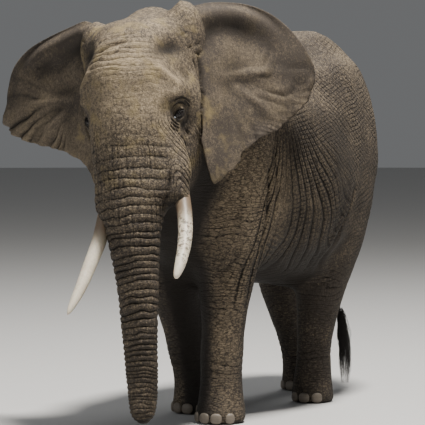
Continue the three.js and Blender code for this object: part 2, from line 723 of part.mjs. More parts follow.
// Tusks: [left, forward, up, radius] from the root inside the sheath to the tip.
const TUSKS = {
  left: [
    [350, 100, -420, 50],
    [385, 205, -640, 57],
    [412, 290, -760, 56],
    [430, 390, -890, 53],
    [430, 500, -1020, 47],
    [418, 590, -1115, 37],
    [406, 645, -1175, 22],
    [402, 662, -1192, 9],
  ],
  right: [
    [-205, 130, -560, 50],
    [-226, 210, -730, 56],
    [-262, 290, -900, 55],
    [-315, 390, -1060, 51],
    [-362, 500, -1210, 43],
    [-405, 590, -1320, 31],
    [-430, 640, -1382, 16],
    [-437, 655, -1402, 4],
  ],
};
for (const [name, points] of Object.entries(TUSKS)) {
  const stations = points.map(([left, forward, up, r]) => [onHead(left, forward, up), r, r, r]);
  const rows = spineOf(stations, headLeft, TUSK_RINGS);
  skin[`tusk_${name}`] = tube(rows, TUSK_SIDES, ovalReach(0));
  const socket = grown(skin[`tusk_${name}`], TUSK_GAP);
  head = head.subtract(socket);
  skin.trunk_upper = mainPiece(skin.trunk_upper.subtract(socket));
}
skin.head = mainPiece(head);

// ---------------------------------------------------------------- ears

// An ear is a sheet drawn on a chart: how far out from its root line, and how high on the head frame. Its
// rim runs from the top of the root over the back edge to the hanging tip and back to the root's foot.
const EAR_RIM = {
  left: [
    [0, 770], [70, 835], [200, 868], [360, 868], [540, 838], [720, 752], [900, 600], [1020, 430],
    [1075, 270], [1010, 125], [880, -10], [740, -110], [620, -150], [560, -235], [420, -290],
    [395, -370], [300, -430], [200, -500], [125, -570], [85, -480], [40, -340], [0, -200],
  ],
  right: [
    [0, 770], [60, 850], [140, 900], [310, 872], [520, 815], [730, 730], [900, 600], [980, 430],
    [1035, 250], [1035, 165], [930, 95], [790, 35], [640, -10], [480, -45], [350, -80], [230, -130],
    [130, -180], [50, -260], [-5, -370], [-30, -400], [-20, -300], [0, -200],
  ],
};
const EAR_ROOT = [[380, -350, 800], [470, -330, 560], [505, -300, 280], [505, -260, 0], [480, -240, -200]];
const EAR_SPLAY = { left: 48, right: 30 }; // degrees back from straight out
const EAR_DROP = { left: -35, right: -120 };
const EAR_LENGTH = { left: 1.08, right: 1.08 }; // reach, as a share of the chart's
const EAR_THICK = [34, 14]; // at the root and at the rim
const EAR_SUNK = { left: 40, right: 100 }; // how far the sheet starts inside the head
const [EAR_ROOT_TOP, EAR_ROOT_LONG] = [800, 1000];
const RIM_STEPS = 18;
const REACH_STEPS = 4;

const earRims = Object.fromEntries(
  Object.entries(EAR_RIM).map(([name, points]) => [
    name,
    new THREE.CatmullRomCurve3(points.map(([out, up]) => at(out, up, 0)), false, "centripetal"),
  ]),
);
const earRoot = new THREE.CatmullRomCurve3(EAR_ROOT.map((p) => at(...p)));

const bump = (x, centre, width) => Math.exp(-(((x - centre) / width) ** 2));

// How far the sheet stands before or behind its own plane.
function earRelief(reach, up, share) {
  const top = smooth(150, 560, up);
  const roll = -60 * top * smooth(0.78, 1, share) ** 1.5;
  const ridge = 46 * top * bump(share, 0.66, 0.2);
  const bowl = -60 * bump(reach, 330, 260) * bump(up, 330, 300);
  const sweep = -80 * (reach / 1050) ** 2;
  const lobe = 40 * smooth(-50, -450, up);
  return roll + ridge + bowl + sweep + lobe;
}

// Where a point of an ear lies: "t" runs along the rim, "share" from the root line out to the rim, and
// "face" is +1 on the front and -1 on the back.
function earPoint(name, side, t, share, face) {
  const edge = earRims[name].getPointAt(t);
  const rootUp = THREE.MathUtils.lerp(EAR_RIM[name][0][1], EAR_RIM[name].at(-1)[1], t);
  const base = earRoot.getPoint((EAR_ROOT_TOP - rootUp) / EAR_ROOT_LONG);
  const reach = edge.x * share * EAR_LENGTH[name];
  const up = THREE.MathUtils.lerp(rootUp, edge.y, share);
  const thick = THREE.MathUtils.lerp(EAR_THICK[0], EAR_THICK[1], smooth(0, 1, share)) / 2;
  const lift = earRelief(reach, up, share) + face * thick;
  const splay = THREE.MathUtils.degToRad(EAR_SPLAY[name]);
  const left = base.x - EAR_SUNK[name] + reach * Math.cos(splay) + lift * Math.sin(splay);
  const forward = base.y - reach * Math.sin(splay) + lift * Math.cos(splay);
  return onHead(side * left, forward, up + EAR_DROP[name]);
}

// A closed sheet from a grid of points on its front and the same grid on its back.
function sheetOf(pointAt, rows, columns, flip) {
  const points = [];
  for (const face of [1, -1])
    for (let i = 0; i < rows; i++) for (let j = 0; j < columns; j++) points.push(pointAt(i, j, face));
  const index = [];
  const quad = (a, b, c, d) => index.push(a, b, c, a, c, d);
  const front = (i, j) => i * columns + j;
  const back = (i, j) => rows * columns + front(i, j);
  for (let i = 0; i + 1 < rows; i++)
    for (let j = 0; j + 1 < columns; j++) {
      quad(front(i, j), front(i + 1, j), front(i + 1, j + 1), front(i, j + 1));
      quad(back(i, j), back(i, j + 1), back(i + 1, j + 1), back(i + 1, j));
    }
  const [lastRow, lastColumn] = [rows - 1, columns - 1];
  for (let i = 0; i + 1 < rows; i++) {
    quad(front(i, lastColumn), front(i + 1, lastColumn), back(i + 1, lastColumn), back(i, lastColumn));
    quad(front(i + 1, 0), front(i, 0), back(i, 0), back(i + 1, 0));
  }
  for (let j = 0; j + 1 < columns; j++) {
    quad(front(0, j), front(0, j + 1), back(0, j + 1), back(0, j));
    quad(front(lastRow, j + 1), front(lastRow, j), back(lastRow, j), back(lastRow, j + 1));
  }
  return solidOf(geometryFrom(points, flip ? index.reverse() : index));
}

for (const [name, side] of [["left", 1], ["right", -1]]) {
  const pointAt = (i, j, face) => earPoint(name, side, i / RIM_STEPS, j / REACH_STEPS, face);
  const sheet = sheetOf(pointAt, RIM_STEPS + 1, REACH_STEPS + 1, side < 0);
  skin[`ear_${name}`] = mainPiece(sheet.subtract(grown(skin.head)).subtract(grown(skin.neck)));
}

// ---------------------------------------------------------------- tail

const TUFT_Z = 660; // where the tail's hair begins
const TAIL_CUT_Z = 1500;
const TAIL_SIDES = 8;

const TAIL = [
  [at(0, HIP_Y + 400, 2470), 80, 110, 90],
  [at(0, HIP_Y + 470, 2370), 72, 84, 72],
  [at(0, HIP_Y + 505, 2200), 56, 60, 56],
  [at(0, HIP_Y + 500, 1930), 44, 44, 44],
  [at(0, HIP_Y + 470, 1550), 36, 36, 36],
  [at(4, HIP_Y + 440, 1180), 30, 30, 30],
  [at(10, HIP_Y + 425, 860), 26, 26, 26],
  [at(14, HIP_Y + 420, TUFT_Z), 24, 24, 24],
];
const TUFT = [
  [at(14, HIP_Y + 420, TUFT_Z), 26, 28, 26],
  [at(22, HIP_Y + 424, 490), 52, 40, 40],
  [at(32, HIP_Y + 430, 320), 62, 46, 46],
  [at(42, HIP_Y + 436, 160), 46, 36, 36],
  [at(48, HIP_Y + 440, 40), 16, 14, 14],
];
const tailRows = spineOf(TAIL, LEFT, 11);
const tail = mainPiece(tube(tailRows, TAIL_SIDES, ovalReach(0)).subtract(grown(skin.haunch)));
const [tailUpper, tailLower] = parted(tail, UP, at(0, 0, TAIL_CUT_Z));
skin.tail_upper = mainPiece(tailUpper);
skin.tail_lower = mainPiece(tailLower);
const tuft = tube(spineOf(TUFT, LEFT, 7), TAIL_SIDES, ovalReach(0));
skin.tail_tuft = mainPiece(tuft.subtract(grown(skin.tail_lower)));

// ---------------------------------------------------------------- the whole

const SKIN_COLOUR = 0x6b5f55;
const finishOf = (name) => {
  if (name.startsWith("tusk")) return { color: 0xcdbf9f, roughness: 0.45 };
  if (name.startsWith("toenail")) return { color: 0x8a7d68, roughness: 0.6 };
  if (name.startsWith("eye")) return { color: 0x1c120b, roughness: 0.08 };
  if (name === "tail_tuft") return { color: 0x14110f, roughness: 0.6 };
  return { color: SKIN_COLOUR, roughness: 0.95 };
};

// The origin moves to the ground under the middle of the whole body.
const extent = new THREE.Box3();
for (const solid of Object.values(skin))
  extent.union(new THREE.Box3().setFromBufferAttribute(geometryOf(solid).attributes.position));
const middle = extent.getCenter(at(0, 0, 0));

const elephant = new THREE.Group();
for (const [name, solid] of Object.entries(skin)) {
  const mesh = new THREE.Mesh(
    geometryOf(solid),
    new THREE.MeshStandardMaterial({ ...finishOf(name), metalness: 0 }),
  );
  mesh.name = name;
  mesh.position.set(-middle.x, -middle.y, 0);
  elephant.add(mesh);
}

export default elephant;
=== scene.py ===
"""A life-size still model of an adult male African bush elephant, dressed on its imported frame.

One continuous skin stands for all the nodes of flesh. The ivory, eyes, toenails and hair stay
pieces of their own. Sizes are in metres; the elephant faces -Y and its own left side is +X.
"""

import itertools
import math

import bmesh
import bpy
import numpy as np
from bpy.props import FloatProperty, FloatVectorProperty, IntProperty, PointerProperty
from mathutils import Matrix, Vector


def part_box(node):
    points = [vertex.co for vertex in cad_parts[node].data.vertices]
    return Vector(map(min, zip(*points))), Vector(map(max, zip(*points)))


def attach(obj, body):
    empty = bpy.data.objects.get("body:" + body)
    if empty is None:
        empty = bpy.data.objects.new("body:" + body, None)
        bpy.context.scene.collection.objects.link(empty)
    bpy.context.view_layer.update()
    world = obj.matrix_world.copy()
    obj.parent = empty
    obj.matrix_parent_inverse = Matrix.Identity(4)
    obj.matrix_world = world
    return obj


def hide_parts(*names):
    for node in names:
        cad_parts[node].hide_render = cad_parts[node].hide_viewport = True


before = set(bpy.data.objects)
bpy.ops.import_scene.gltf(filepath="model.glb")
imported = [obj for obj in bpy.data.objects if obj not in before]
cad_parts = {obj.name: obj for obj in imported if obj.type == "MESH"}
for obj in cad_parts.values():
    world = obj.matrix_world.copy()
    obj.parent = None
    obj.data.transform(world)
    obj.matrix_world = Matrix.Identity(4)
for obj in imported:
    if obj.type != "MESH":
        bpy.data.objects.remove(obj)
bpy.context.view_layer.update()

bl_info = {
    "name": "African bush elephant",
    "version": (1, 0, 0),
    "blender": (4, 5, 0),
    "location": "3D View > Sidebar > Elephant",
    "description": "Builds the skin, eyes, ivory, toenails and hair of a life-size elephant",
    "category": "Object",
}

# ---------------------------------------------------------------- landmarks


def centre_of(node):
    low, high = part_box(node)
    return np.array((low + high) / 2)


EYES = {"left": centre_of("eye_left"), "right": centre_of("eye_right")}
EYE_FORWARD = -0.030  # from the head's own centre to the line through both eyes

# The head's own axes: towards its left, forward and up.
HEAD_LEFT = EYES["left"] - EYES["right"]
HEAD_LEFT /= np.linalg.norm(HEAD_LEFT)
HEAD_FORWARD = np.cross(HEAD_LEFT, (0, 0, 1))
HEAD_FORWARD /= np.linalg.norm(HEAD_FORWARD)
HEAD_UP = np.cross(HEAD_FORWARD, HEAD_LEFT)
HEAD_AXES = np.array([HEAD_LEFT, HEAD_FORWARD, HEAD_UP])
HEAD = (EYES["left"] + EYES["right"]) / 2 - HEAD_FORWARD * EYE_FORWARD

# The body is measured from the ground below the middle of its shoulder line.
SHOULDER = HEAD - np.array([0.100, -1.085, HEAD[2]])

FLESH = [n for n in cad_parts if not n.startswith(("eye", "tusk", "toenail", "tail_tuft"))]


def on_head(left, forward, up):
    """A point from how far it lies left, forward and up of the head's centre."""
    return HEAD + np.stack(np.broadcast_arrays(left, forward, up), -1) @ HEAD_AXES


def in_head(points):
    return (points - HEAD) @ HEAD_AXES.T


def in_body(points):
    return points - SHOULDER


# ---------------------------------------------------------------- numbers and curves


def smooth(low, high, x):
    """0 up to the first value and 1 from the second on, smooth between."""
    t = np.clip((x - low) / (high - low), 0, 1)
    return t * t * (3 - 2 * t)


def hill(x, centre, width):
    """1 at the centre, falling smoothly to 0 within about two widths."""
    return np.exp(-(((x - centre) / width) ** 2))


HASH = (127.1, 311.7, 74.7)  # these two scatter the corners of the noise's cells
HASH_SCALE = 43758.5453
SEED_STEP = 31.7  # how far one seed's noise lies from the next


def noise(points, size, seed=0):
    """Smooth noise from -1 to 1 whose features are about as wide as size."""
    q = np.asarray(points) / size + seed * SEED_STEP
    cell = np.floor(q)
    t = q - cell
    t = t * t * (3 - 2 * t)
    total = 0
    for corner in itertools.product((0, 1), repeat=3):
        value = np.sin((cell + corner) @ HASH) * HASH_SCALE
        weight = np.prod(np.where(corner, t, 1 - t), axis=1)
        total = total + weight * (2 * (value - np.floor(value)) - 1)
    return total


def noise_on(a, b, c, seed=0):
    """Such noise on a grid, with features about 1 wide."""
    spots = np.stack(np.broadcast_arrays(a, b, c), -1)
    return noise(spots.reshape(-1, 3), 1.0, seed).reshape(spots.shape[:-1])


def uneven(points, mean, swing, size, seed, least, most):
    """A share that changes from place to place between a least and a most."""
    return np.clip(mean + swing * noise(points, size, seed), least, most)


def creases(phase, width):
    """1 in a narrow valley at each whole number of the phase, 0 between them."""
    return np.exp(-(((phase - np.round(phase)) / width) ** 2))


def curve(points, u):
    """Points of a smooth curve through the given ones, where u runs from 0 to 1 evenly by point."""
    p = np.asarray(points, float)
    p = np.vstack([2 * p[0] - p[1], p, 2 * p[-1] - p[-2]])
    place = np.clip(np.asarray(u, float), 0, 1) * (len(points) - 1)
    i = np.minimum(place.astype(int), len(points) - 2)
    w = (place - i)[..., None]
    a, b, c, d = (p[i + k] for k in range(4))
    gaps = ((a, b), (b, c), (c, d))
    ab, bc, cd = (np.sqrt(np.linalg.norm(r - q, axis=-1, keepdims=True)) for q, r in gaps)
    leave = bc * ((b - a) / ab - (c - a) / (ab + bc) + (c - b) / bc)
    arrive = bc * ((c - b) / bc - (d - b) / (bc + cd) + (d - c) / cd)
    square = 3 * (c - b) - 2 * leave - arrive
    cube = 2 * (b - c) + leave + arrive
    return b + w * leave + w**2 * square + w**3 * cube


CURVE_STEPS = 2000  # how finely a curve's length is measured


def evenly(points, share):
    """Places on that curve at shares of its length."""
    u = np.linspace(0, 1, CURVE_STEPS)
    run = np.cumsum([0, *np.linalg.norm(np.diff(curve(points, u), axis=0), axis=1)])
    return curve(points, np.interp(np.asarray(share) * run[-1], run, u))


# ---------------------------------------------------------------- meshes


def deselect():
    for o in bpy.context.selected_objects:
        o.select_set(False)


def activate(piece):
    deselect()
    piece.select_set(True)
    bpy.context.view_layer.objects.active = piece


def apply_modifier(piece, kind, **settings):
    activate(piece)
    modifier = piece.modifiers.new("step", kind)
    for name, value in settings.items():
        setattr(modifier, name, value)
    bpy.ops.object.modifier_apply(modifier=modifier.name)


def piece_from(name, points, faces):
    mesh = bpy.data.meshes.new(name)
    mesh.from_pydata([tuple(p) for p in points], [], [tuple(f) for f in faces])
    piece = bpy.data.objects.new(name, mesh)
    bpy.context.collection.objects.link(piece)
    return piece


def points_of(mesh):
    co = np.empty(len(mesh.vertices) * 3, np.float32)
    mesh.vertices.foreach_get("co", co)
    return co.reshape(-1, 3).astype(float)


def put_points(mesh, points):
    mesh.vertices.foreach_set("co", np.asarray(points, np.float32).ravel())
    mesh.update()


def normals_of(mesh):
    out = np.empty(len(mesh.vertices) * 3, np.float32)
    mesh.vertex_normals.foreach_get("vector", out)
    return out.reshape(-1, 3).astype(float)


def edges_of(mesh):
    out = np.empty(len(mesh.edges) * 2, np.int32)
    mesh.edges.foreach_get("vertices", out)
    return out.reshape(-1, 2)


def neighbour_mean(values, edges):
    """For each vertex, the mean of its neighbours' values."""
    n = len(values)
    a, b = edges.T
    count = np.maximum(np.bincount(edges.ravel(), minlength=n), 1)
    flat = values.reshape(n, -1)
    sums = [np.bincount(a, column[b], n) + np.bincount(b, column[a], n) for column in flat.T]
    return (np.stack(sums, 1) / count[:, None]).reshape(values.shape)


def relaxed(values, edges, rounds, weight=1.0):
    for _ in range(rounds):
        values = values + weight * 0.5 * (neighbour_mean(values, edges) - values)
    return values


def relax_keeping_size(mesh, rounds):
    """Smooths facets away, then moves the surface back out by what it lost on the whole."""
    edges = edges_of(mesh)
    before = points_of(mesh)
    after = relaxed(before, edges, rounds)
    put_points(mesh, after)
    normals = normals_of(mesh)
    lost = relaxed(np.sum((before - after) * normals, axis=1), edges, rounds * 2)
    put_points(mesh, after + normals * lost[:, None])


def add_field(mesh, name, values):
    """Stores one number for each vertex for the material to read."""
    field = mesh.attributes.new(name, "FLOAT", "POINT")
    field.data.foreach_set("value", np.asarray(values, np.float32))


def field_of(mesh, name):
    """Reads such a number back for every vertex."""
    values = np.empty(len(mesh.vertices), np.float32)
    mesh.attributes[name].data.foreach_get("value", values)
    return values.astype(float)


def rings(centres, radii, across, sides):
    """Rings of points round a line, row after row, each centre with its radius."""
    along = np.gradient(centres, axis=0)
    along /= np.linalg.norm(along, axis=1, keepdims=True)
    first = np.cross(along, across)
    first /= np.linalg.norm(first, axis=1, keepdims=True)
    second = np.cross(first, along)
    angle = np.linspace(0, 2 * math.pi, sides, endpoint=False)[None, :, None]
    ring = first[:, None] * np.cos(angle) + second[:, None] * np.sin(angle)
    return (centres[:, None] + ring * np.asarray(radii)[:, None, None]).reshape(-1, 3)


def walls(rows, sides, start=0):
    """The faces between each ring and the next."""
    spots = itertools.product(range(start, start + (rows - 1) * sides, sides), range(sides))
    corners = [(row + s, row + (s + 1) % sides) for row, s in spots]
    return [(a, b, b + sides, a + sides) for a, b in corners]


def tube(centres, radii, across, sides, name):
    """A closed round tube: rings, and a point at each end."""
    points = rings(centres, radii, across, sides)
    root, tip, last = len(points), len(points) + 1, len(points) - sides
    faces = walls(len(centres), sides)
    faces += [(root, (s + 1) % sides, s) for s in range(sides)]
    faces += [(tip, last + s, last + (s + 1) % sides) for s in range(sides)]
    piece = piece_from(name, np.vstack([points, centres[0], centres[-1]]), faces)
    outward(piece)
    return piece


def ball(segments, rows, radius=1, centre=(0, 0, 0)):
    """A round mesh that carries its place in its points."""
    deselect()
    bpy.ops.mesh.primitive_uv_sphere_add(
        segments=segments, ring_count=rows, radius=radius, location=centre
    )
    bpy.ops.object.transform_apply(location=True, rotation=True, scale=True)
    return bpy.context.object


def outward(piece):
    """Turns a closed piece's faces outwards."""
    activate(piece)
    bpy.ops.object.mode_set(mode="EDIT")
    bpy.ops.mesh.select_all(action="SELECT")
    bpy.ops.mesh.normals_make_consistent(inside=False)
    bpy.ops.object.mode_set(mode="OBJECT")


def finished(piece, material, slot, *nodes):
    """Gives a piece its material and smooth shading, hides the nodes it stands for and hangs it
    from the root. The slot is not used.
    """
    piece.data.materials.clear()
    piece.data.materials.append(material)
    piece.data.shade_smooth()
    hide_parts(*nodes)
    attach(piece, "root")


# ---------------------------------------------------------------- ears

# An ear is drawn on a chart: how far out from its root, and how high on the head.
EAR_RIM = {
    "left": [
        (0, 0.770), (0.070, 0.835), (0.200, 0.868), (0.360, 0.868), (0.540, 0.838), (0.720, 0.752),
        (0.900, 0.600), (1.020, 0.430), (1.075, 0.270), (1.010, 0.125), (0.880, -0.010),
        (0.740, -0.100), (0.600, -0.160), (0.500, -0.190), (0.400, -0.250), (0.295, -0.305),
        (0.280, -0.360), (0.190, -0.430), (0.110, -0.485), (0.050, -0.520), (0.020, -0.430),
        (0, -0.200),
    ],
    "right": [
        (0, 0.770), (0.060, 0.850), (0.140, 0.900), (0.310, 0.872), (0.520, 0.815), (0.730, 0.730),
        (0.900, 0.600), (0.980, 0.430), (1.035, 0.250), (1.035, 0.165), (0.930, 0.095),
        (0.790, 0.035), (0.640, -0.010), (0.480, -0.045), (0.350, -0.080), (0.230, -0.130),
        (0.130, -0.180), (0.050, -0.260), (-0.005, -0.370), (-0.030, -0.400), (-0.020, -0.300),
        (0, -0.200),
    ],
}
EAR_ROOT = [
    (0.380, -0.350, 0.800), (0.470, -0.330, 0.560), (0.505, -0.300, 0.280), (0.505, -0.260, 0),
    (0.480, -0.240, -0.200),
]
# How far an ear stands out (degrees), how far it hangs and how deep its root is sunk (metres),
# and its folds: how deep they are, how far apart (radians) and their seed.
EAR = {
    "left": {
        "side": 1, "splay": 48, "drop": -0.035, "sunk": 0.040,
        "folded": 0.30, "fold": 0.26, "seed": 3,
    },
    "right": {
        "side": -1, "splay": 30, "drop": -0.120, "sunk": 0.100,
        "folded": 1.60, "fold": 0.18, "seed": 7,
    },
}
EAR_TOP = 0.8  # where the root starts, on the chart
EAR_LONG = 1.08  # how much longer an ear is than its chart
EAR_ROOT_THICK, EAR_RIM_THICK = 0.034, 0.009
EAR_HUB = (0.26, 0.33)  # where the folds of the free ear fan out from, on the chart
EAR_GRID = (250, 70)  # rows along the rim, columns from the root out
UPPER_RIM = np.linspace(0.02, 0.52, 70)  # the shares of the rim that are rolled back


def rim_gap(name, reach, up):
    """How far a place on the chart lies from the upper rim."""
    rim = evenly(EAR_RIM[name], UPPER_RIM)
    spots = np.stack([reach, up], -1).reshape(-1, 1, 2)
    return np.min(np.linalg.norm(spots - rim[None], axis=2), axis=1).reshape(reach.shape)


def ear_relief(name, reach, up, share, t):
    """How far the sheet stands before its own plane."""
    gap = rim_gap(name, reach, up)
    wander = ear_wander(name, reach, up)
    top = smooth(0.30, 0.62, up) * smooth(-0.02, 0.10, reach) * smooth(0.98, 0.50, reach)
    rolled = -0.050 * (1 - smooth(-0.01, 0.085, gap)) ** 1.3
    crest = 0.018 * hill(gap, 0.105, 0.065)
    hollow = -0.032 * hill(gap, 0.235 + 0.03 * wander, 0.130) * smooth(-0.02, 0.20, reach)
    bowl = -0.050 * hill(reach, 0.33, 0.26) * hill(up, 0.33, 0.30)
    sweep = -0.080 * (reach / 1.05) ** 2
    lobe = 0.040 * smooth(-0.05, -0.45, up)
    folds = ear_folds(name, reach, up, share, t, wander)
    return top * (rolled + crest + hollow) + bowl + sweep + lobe + folds


def ear_wander(name, reach, up):
    """How far an ear's folds stray from their rule at each place."""
    seed = EAR[name]["seed"]
    return noise_on(reach * 5, up * 5, seed, seed)


def ear_fan(name, reach, up, wander):
    """Where the folds of the free ear lie, and their count so far."""
    out, high = reach - EAR_HUB[0], up - EAR_HUB[1]
    angle = np.arctan2(high, out + 0.04)
    fan = smooth(0.55, 0.05, angle) * smooth(-1.75, -1.1, angle)
    fan = fan * smooth(0.16, 0.58, np.hypot(out, high))
    return fan, angle / EAR[name]["fold"] + 0.75 * wander + EAR[name]["seed"]


def ear_folds(name, reach, up, share, t, wander):
    """Soft folds that fan out to the free edge, and a finer ruffle along it."""
    out, high = reach - EAR_HUB[0], up - EAR_HUB[1]
    fan, turns = ear_fan(name, reach, up, wander)
    deep = 0.010 * np.clip(1 + 2.0 * wander, 0.05, 2.2) * EAR[name]["folded"]
    folds = fan * deep * (np.abs(np.sin(math.pi * turns)) ** 0.8 * 2 - 1.2)
    free = smooth(0.36, 0.50, t) * smooth(0.84, 0.74, t)
    ruffle = 0.0035 * share**6 * free * np.sin(2 * math.pi * (34 * t + 1.2 * wander))
    ridge = 0.020 * hill(high + 0.02 * out, -0.02, 0.045) * hill(out, 0.24, 0.24)
    ridge = ridge + 0.016 * hill(high + 0.75 * out, -0.06, 0.050) * hill(out, 0.26, 0.18)
    return folds + ruffle + ridge + 0.006 * wander


def ear_base(up):
    """Where an ear is rooted in the head, at each height on the chart."""
    return curve(EAR_ROOT, EAR_TOP - up)


def ear_point(name, t, share, face):
    """t runs along the rim, share from the root out to it; face is 1 in front and -1 behind."""
    ear = EAR[name]
    rim = EAR_RIM[name]
    edge = evenly(rim, t)
    root_up = rim[0][1] + (rim[-1][1] - rim[0][1]) * t
    base = ear_base(root_up)
    chips = noise_on(t * 70, 0, ear["seed"])
    ragged = 1 + 0.018 * smooth(0.40, 0.50, t) * smooth(1, 0.9, t) * chips * share**6
    reach = edge[..., 0] * share * EAR_LONG * ragged
    up = root_up + (edge[..., 1] - root_up) * share * ragged
    thick = (EAR_ROOT_THICK + (EAR_RIM_THICK - EAR_ROOT_THICK) * smooth(0, 1, share)) / 2
    thick = thick * np.sqrt(np.clip(1.02 - share**30, 0, 1))
    lift = ear_relief(name, reach, up, share, t) + face * thick
    splay = math.radians(ear["splay"])
    left = base[..., 0] - ear["sunk"] + reach * math.cos(splay) + lift * math.sin(splay)
    forward = base[..., 1] - reach * math.sin(splay) + lift * math.cos(splay)
    return on_head(ear["side"] * left, forward, up + ear["drop"])


def on_ear(name, place):
    """How far out and up each point lies on an ear's chart."""
    ear = EAR[name]
    up = place.u - ear["drop"]
    base = ear_base(up)
    left = ear["side"] * place.l - base[:, 0] + ear["sunk"]
    splay = math.radians(ear["splay"])
    return left * math.cos(splay) - (place.f - base[:, 1]) * math.sin(splay), up


def make_ear(name):
    """A closed sheet: a grid on its front, the same grid on its back, and a wall all round."""
    rows, columns = EAR_GRID
    t, share = np.meshgrid(np.linspace(0, 1, rows), np.linspace(0, 1, columns), indexing="ij")
    grids = [ear_point(name, t, share, face) for face in (1, -1)]
    points = np.concatenate([g.reshape(-1, 3) for g in grids])
    front = np.arange(rows * columns).reshape(rows, columns)
    back = front + rows * columns

    def strip(a, b, c, d):
        return np.stack([corner.ravel() for corner in (a, b, c, d)], 1)

    faces = np.concatenate([
        strip(front[:-1, :-1], front[1:, :-1], front[1:, 1:], front[:-1, 1:]),
        strip(back[:-1, :-1], back[:-1, 1:], back[1:, 1:], back[1:, :-1]),
        strip(front[:-1, -1], front[1:, -1], back[1:, -1], back[:-1, -1]),
        strip(front[1:, 0], front[:-1, 0], back[:-1, 0], back[1:, 0]),
        strip(front[0, :-1], front[0, 1:], back[0, 1:], back[0, :-1]),
        strip(front[-1, 1:], front[-1, :-1], back[-1, :-1], back[-1, 1:]),
    ])
    piece = piece_from("ear sheet", points, faces)
    outward(piece)
    return piece


# ---------------------------------------------------------------- tusks

# Each station is how far left, forward and up it lies on the head, with the tusk's radius there.
TUSKS = {
    "left": [
        (0.350, 0.100, -0.420, 0.050), (0.385, 0.205, -0.640, 0.057),
        (0.412, 0.290, -0.760, 0.056), (0.430, 0.390, -0.890, 0.053),
        (0.430, 0.500, -1.020, 0.047), (0.418, 0.590, -1.115, 0.037),
        (0.406, 0.645, -1.175, 0.022), (0.402, 0.662, -1.192, 0.009),
    ],
    "right": [
        (-0.205, 0.130, -0.560, 0.050), (-0.226, 0.210, -0.730, 0.056),
        (-0.262, 0.290, -0.900, 0.055), (-0.315, 0.390, -1.060, 0.051),
        (-0.362, 0.500, -1.210, 0.043), (-0.405, 0.590, -1.320, 0.031),
        (-0.430, 0.640, -1.382, 0.016), (-0.437, 0.655, -1.402, 0.004),
    ],
}
TUSK_MOUTH = {"left": 0.30, "right": 0.22}  # the share of its length inside the sheath
TUSK_WORN = {"left": 1.0, "right": 0.15}  # how stained and pitted it is
TUSK_SIDES = 36
SHEATH = 0.004  # how far the skin stands off a tusk


def tusk_run(name, shares):
    """Centres and radii of a tusk at shares of its length."""
    rows = evenly(TUSKS[name], shares)
    return on_head(rows[:, 0], rows[:, 1], rows[:, 2]), rows[:, 3]


# ---------------------------------------------------------------- the flesh as one mesh


CUT = 0.0015  # how far each node is grown, to close the thin cuts between them


def copied(node, grow):
    """A loose copy of a node's solid, merged and moved out a little so that the thin cuts close."""
    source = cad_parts[node]
    piece = bpy.data.objects.new("copy", source.data.copy())
    piece.data.materials.clear()
    bpy.context.collection.objects.link(piece)
    welded = bmesh.new()
    welded.from_mesh(piece.data)
    bmesh.ops.remove_doubles(welded, verts=welded.verts, dist=1e-5)
    welded.to_mesh(piece.data)
    welded.free()
    put_points(piece.data, points_of(piece.data) + normals_of(piece.data) * grow)
    return piece


PLUG_ROWS, PLUG_SIDES = 12, 16


def plug(name):
    """The part of a tusk inside its sheath, which keeps the skin closed there."""
    centres, radii = tusk_run(name, np.linspace(0, TUSK_MOUTH[name], PLUG_ROWS))
    return tube(centres, radii + SHEATH, HEAD_LEFT, PLUG_SIDES, "plug")


def joined(pieces):
    deselect()
    for piece in pieces:
        piece.select_set(True)
    bpy.context.view_layer.objects.active = pieces[0]
    bpy.ops.object.join()
    return pieces[0]


def body_mesh(settings):
    """Every node of flesh but the ears as one smooth closed mesh of quads."""
    pieces = [copied(node, CUT) for node in FLESH if not node.startswith("ear")]
    pieces += [copied(f"eye_{side}", LID) for side in EYES]
    pieces += [plug(name) for name in TUSKS]
    body = joined(pieces)
    body.name = "skin"
    apply_modifier(body, "REMESH", mode="VOXEL", voxel_size=settings.voxel)
    relax_keeping_size(body.data, settings.smoothing)
    apply_modifier(body, "SUBSURF", levels=1, render_levels=1)
    return body


def subdivide_where(piece, wanted):
    """Splits the edges whose two ends are both wanted."""
    work = bmesh.new()
    work.from_mesh(piece.data)
    work.verts.ensure_lookup_table()
    edges = [e for e in work.edges if wanted[e.verts[0].index] and wanted[e.verts[1].index]]
    bmesh.ops.subdivide_edges(work, edges=edges, cuts=1, use_grid_fill=True)
    bmesh.ops.triangulate(work, faces=[f for f in work.faces if len(f.verts) > 4])
    work.to_mesh(piece.data)
    work.free()


def is_head_or_trunk(points):
    head = in_head(points)
    return (head[:, 1] > -0.32) & (head[:, 2] < 0.75) & (np.abs(head[:, 0]) < 0.47)


KEY_GRAIN = 1e4  # points that agree to a tenth of a millimetre are the same


def keys(points):
    """Each point as one number, so that points can be looked up in a set."""
    return (np.round(points * KEY_GRAIN).astype(np.int64) @ (1, 1 << 20, 1 << 40)).tolist()


SEAM_WIDTH = 5  # how many vertices on each side of an ear's seam are smoothed with it
SEAM_ROUNDS = 22


def add_ears(body):
    """Joins the ears to the head and smooths the seams. Returns each vertex's share of ear."""
    of_body = set(keys(points_of(body.data)))
    of_ear = set()
    for name in EAR:
        ear = make_ear(name)
        of_ear.update(keys(points_of(ear.data)))
        apply_modifier(body, "BOOLEAN", operation="UNION", object=ear, solver="MANIFOLD")
        bpy.data.objects.remove(ear)
    found = keys(points_of(body.data))
    ear = np.array([k in of_ear for k in found], float)
    seam = np.array([k not in of_ear and k not in of_body for k in found], float)
    edges = edges_of(body.data)
    for _ in range(SEAM_WIDTH):
        seam = np.maximum(seam, (neighbour_mean(seam, edges) > 0.01) * 1.0)
    weight = np.clip(relaxed(seam, edges, SEAM_WIDTH) * 1.6, 0, 1)[:, None]
    put_points(body.data, relaxed(points_of(body.data), edges, SEAM_ROUNDS, weight))
    return relaxed(ear, edges, 3)


# ---------------------------------------------------------------- relief of the skin


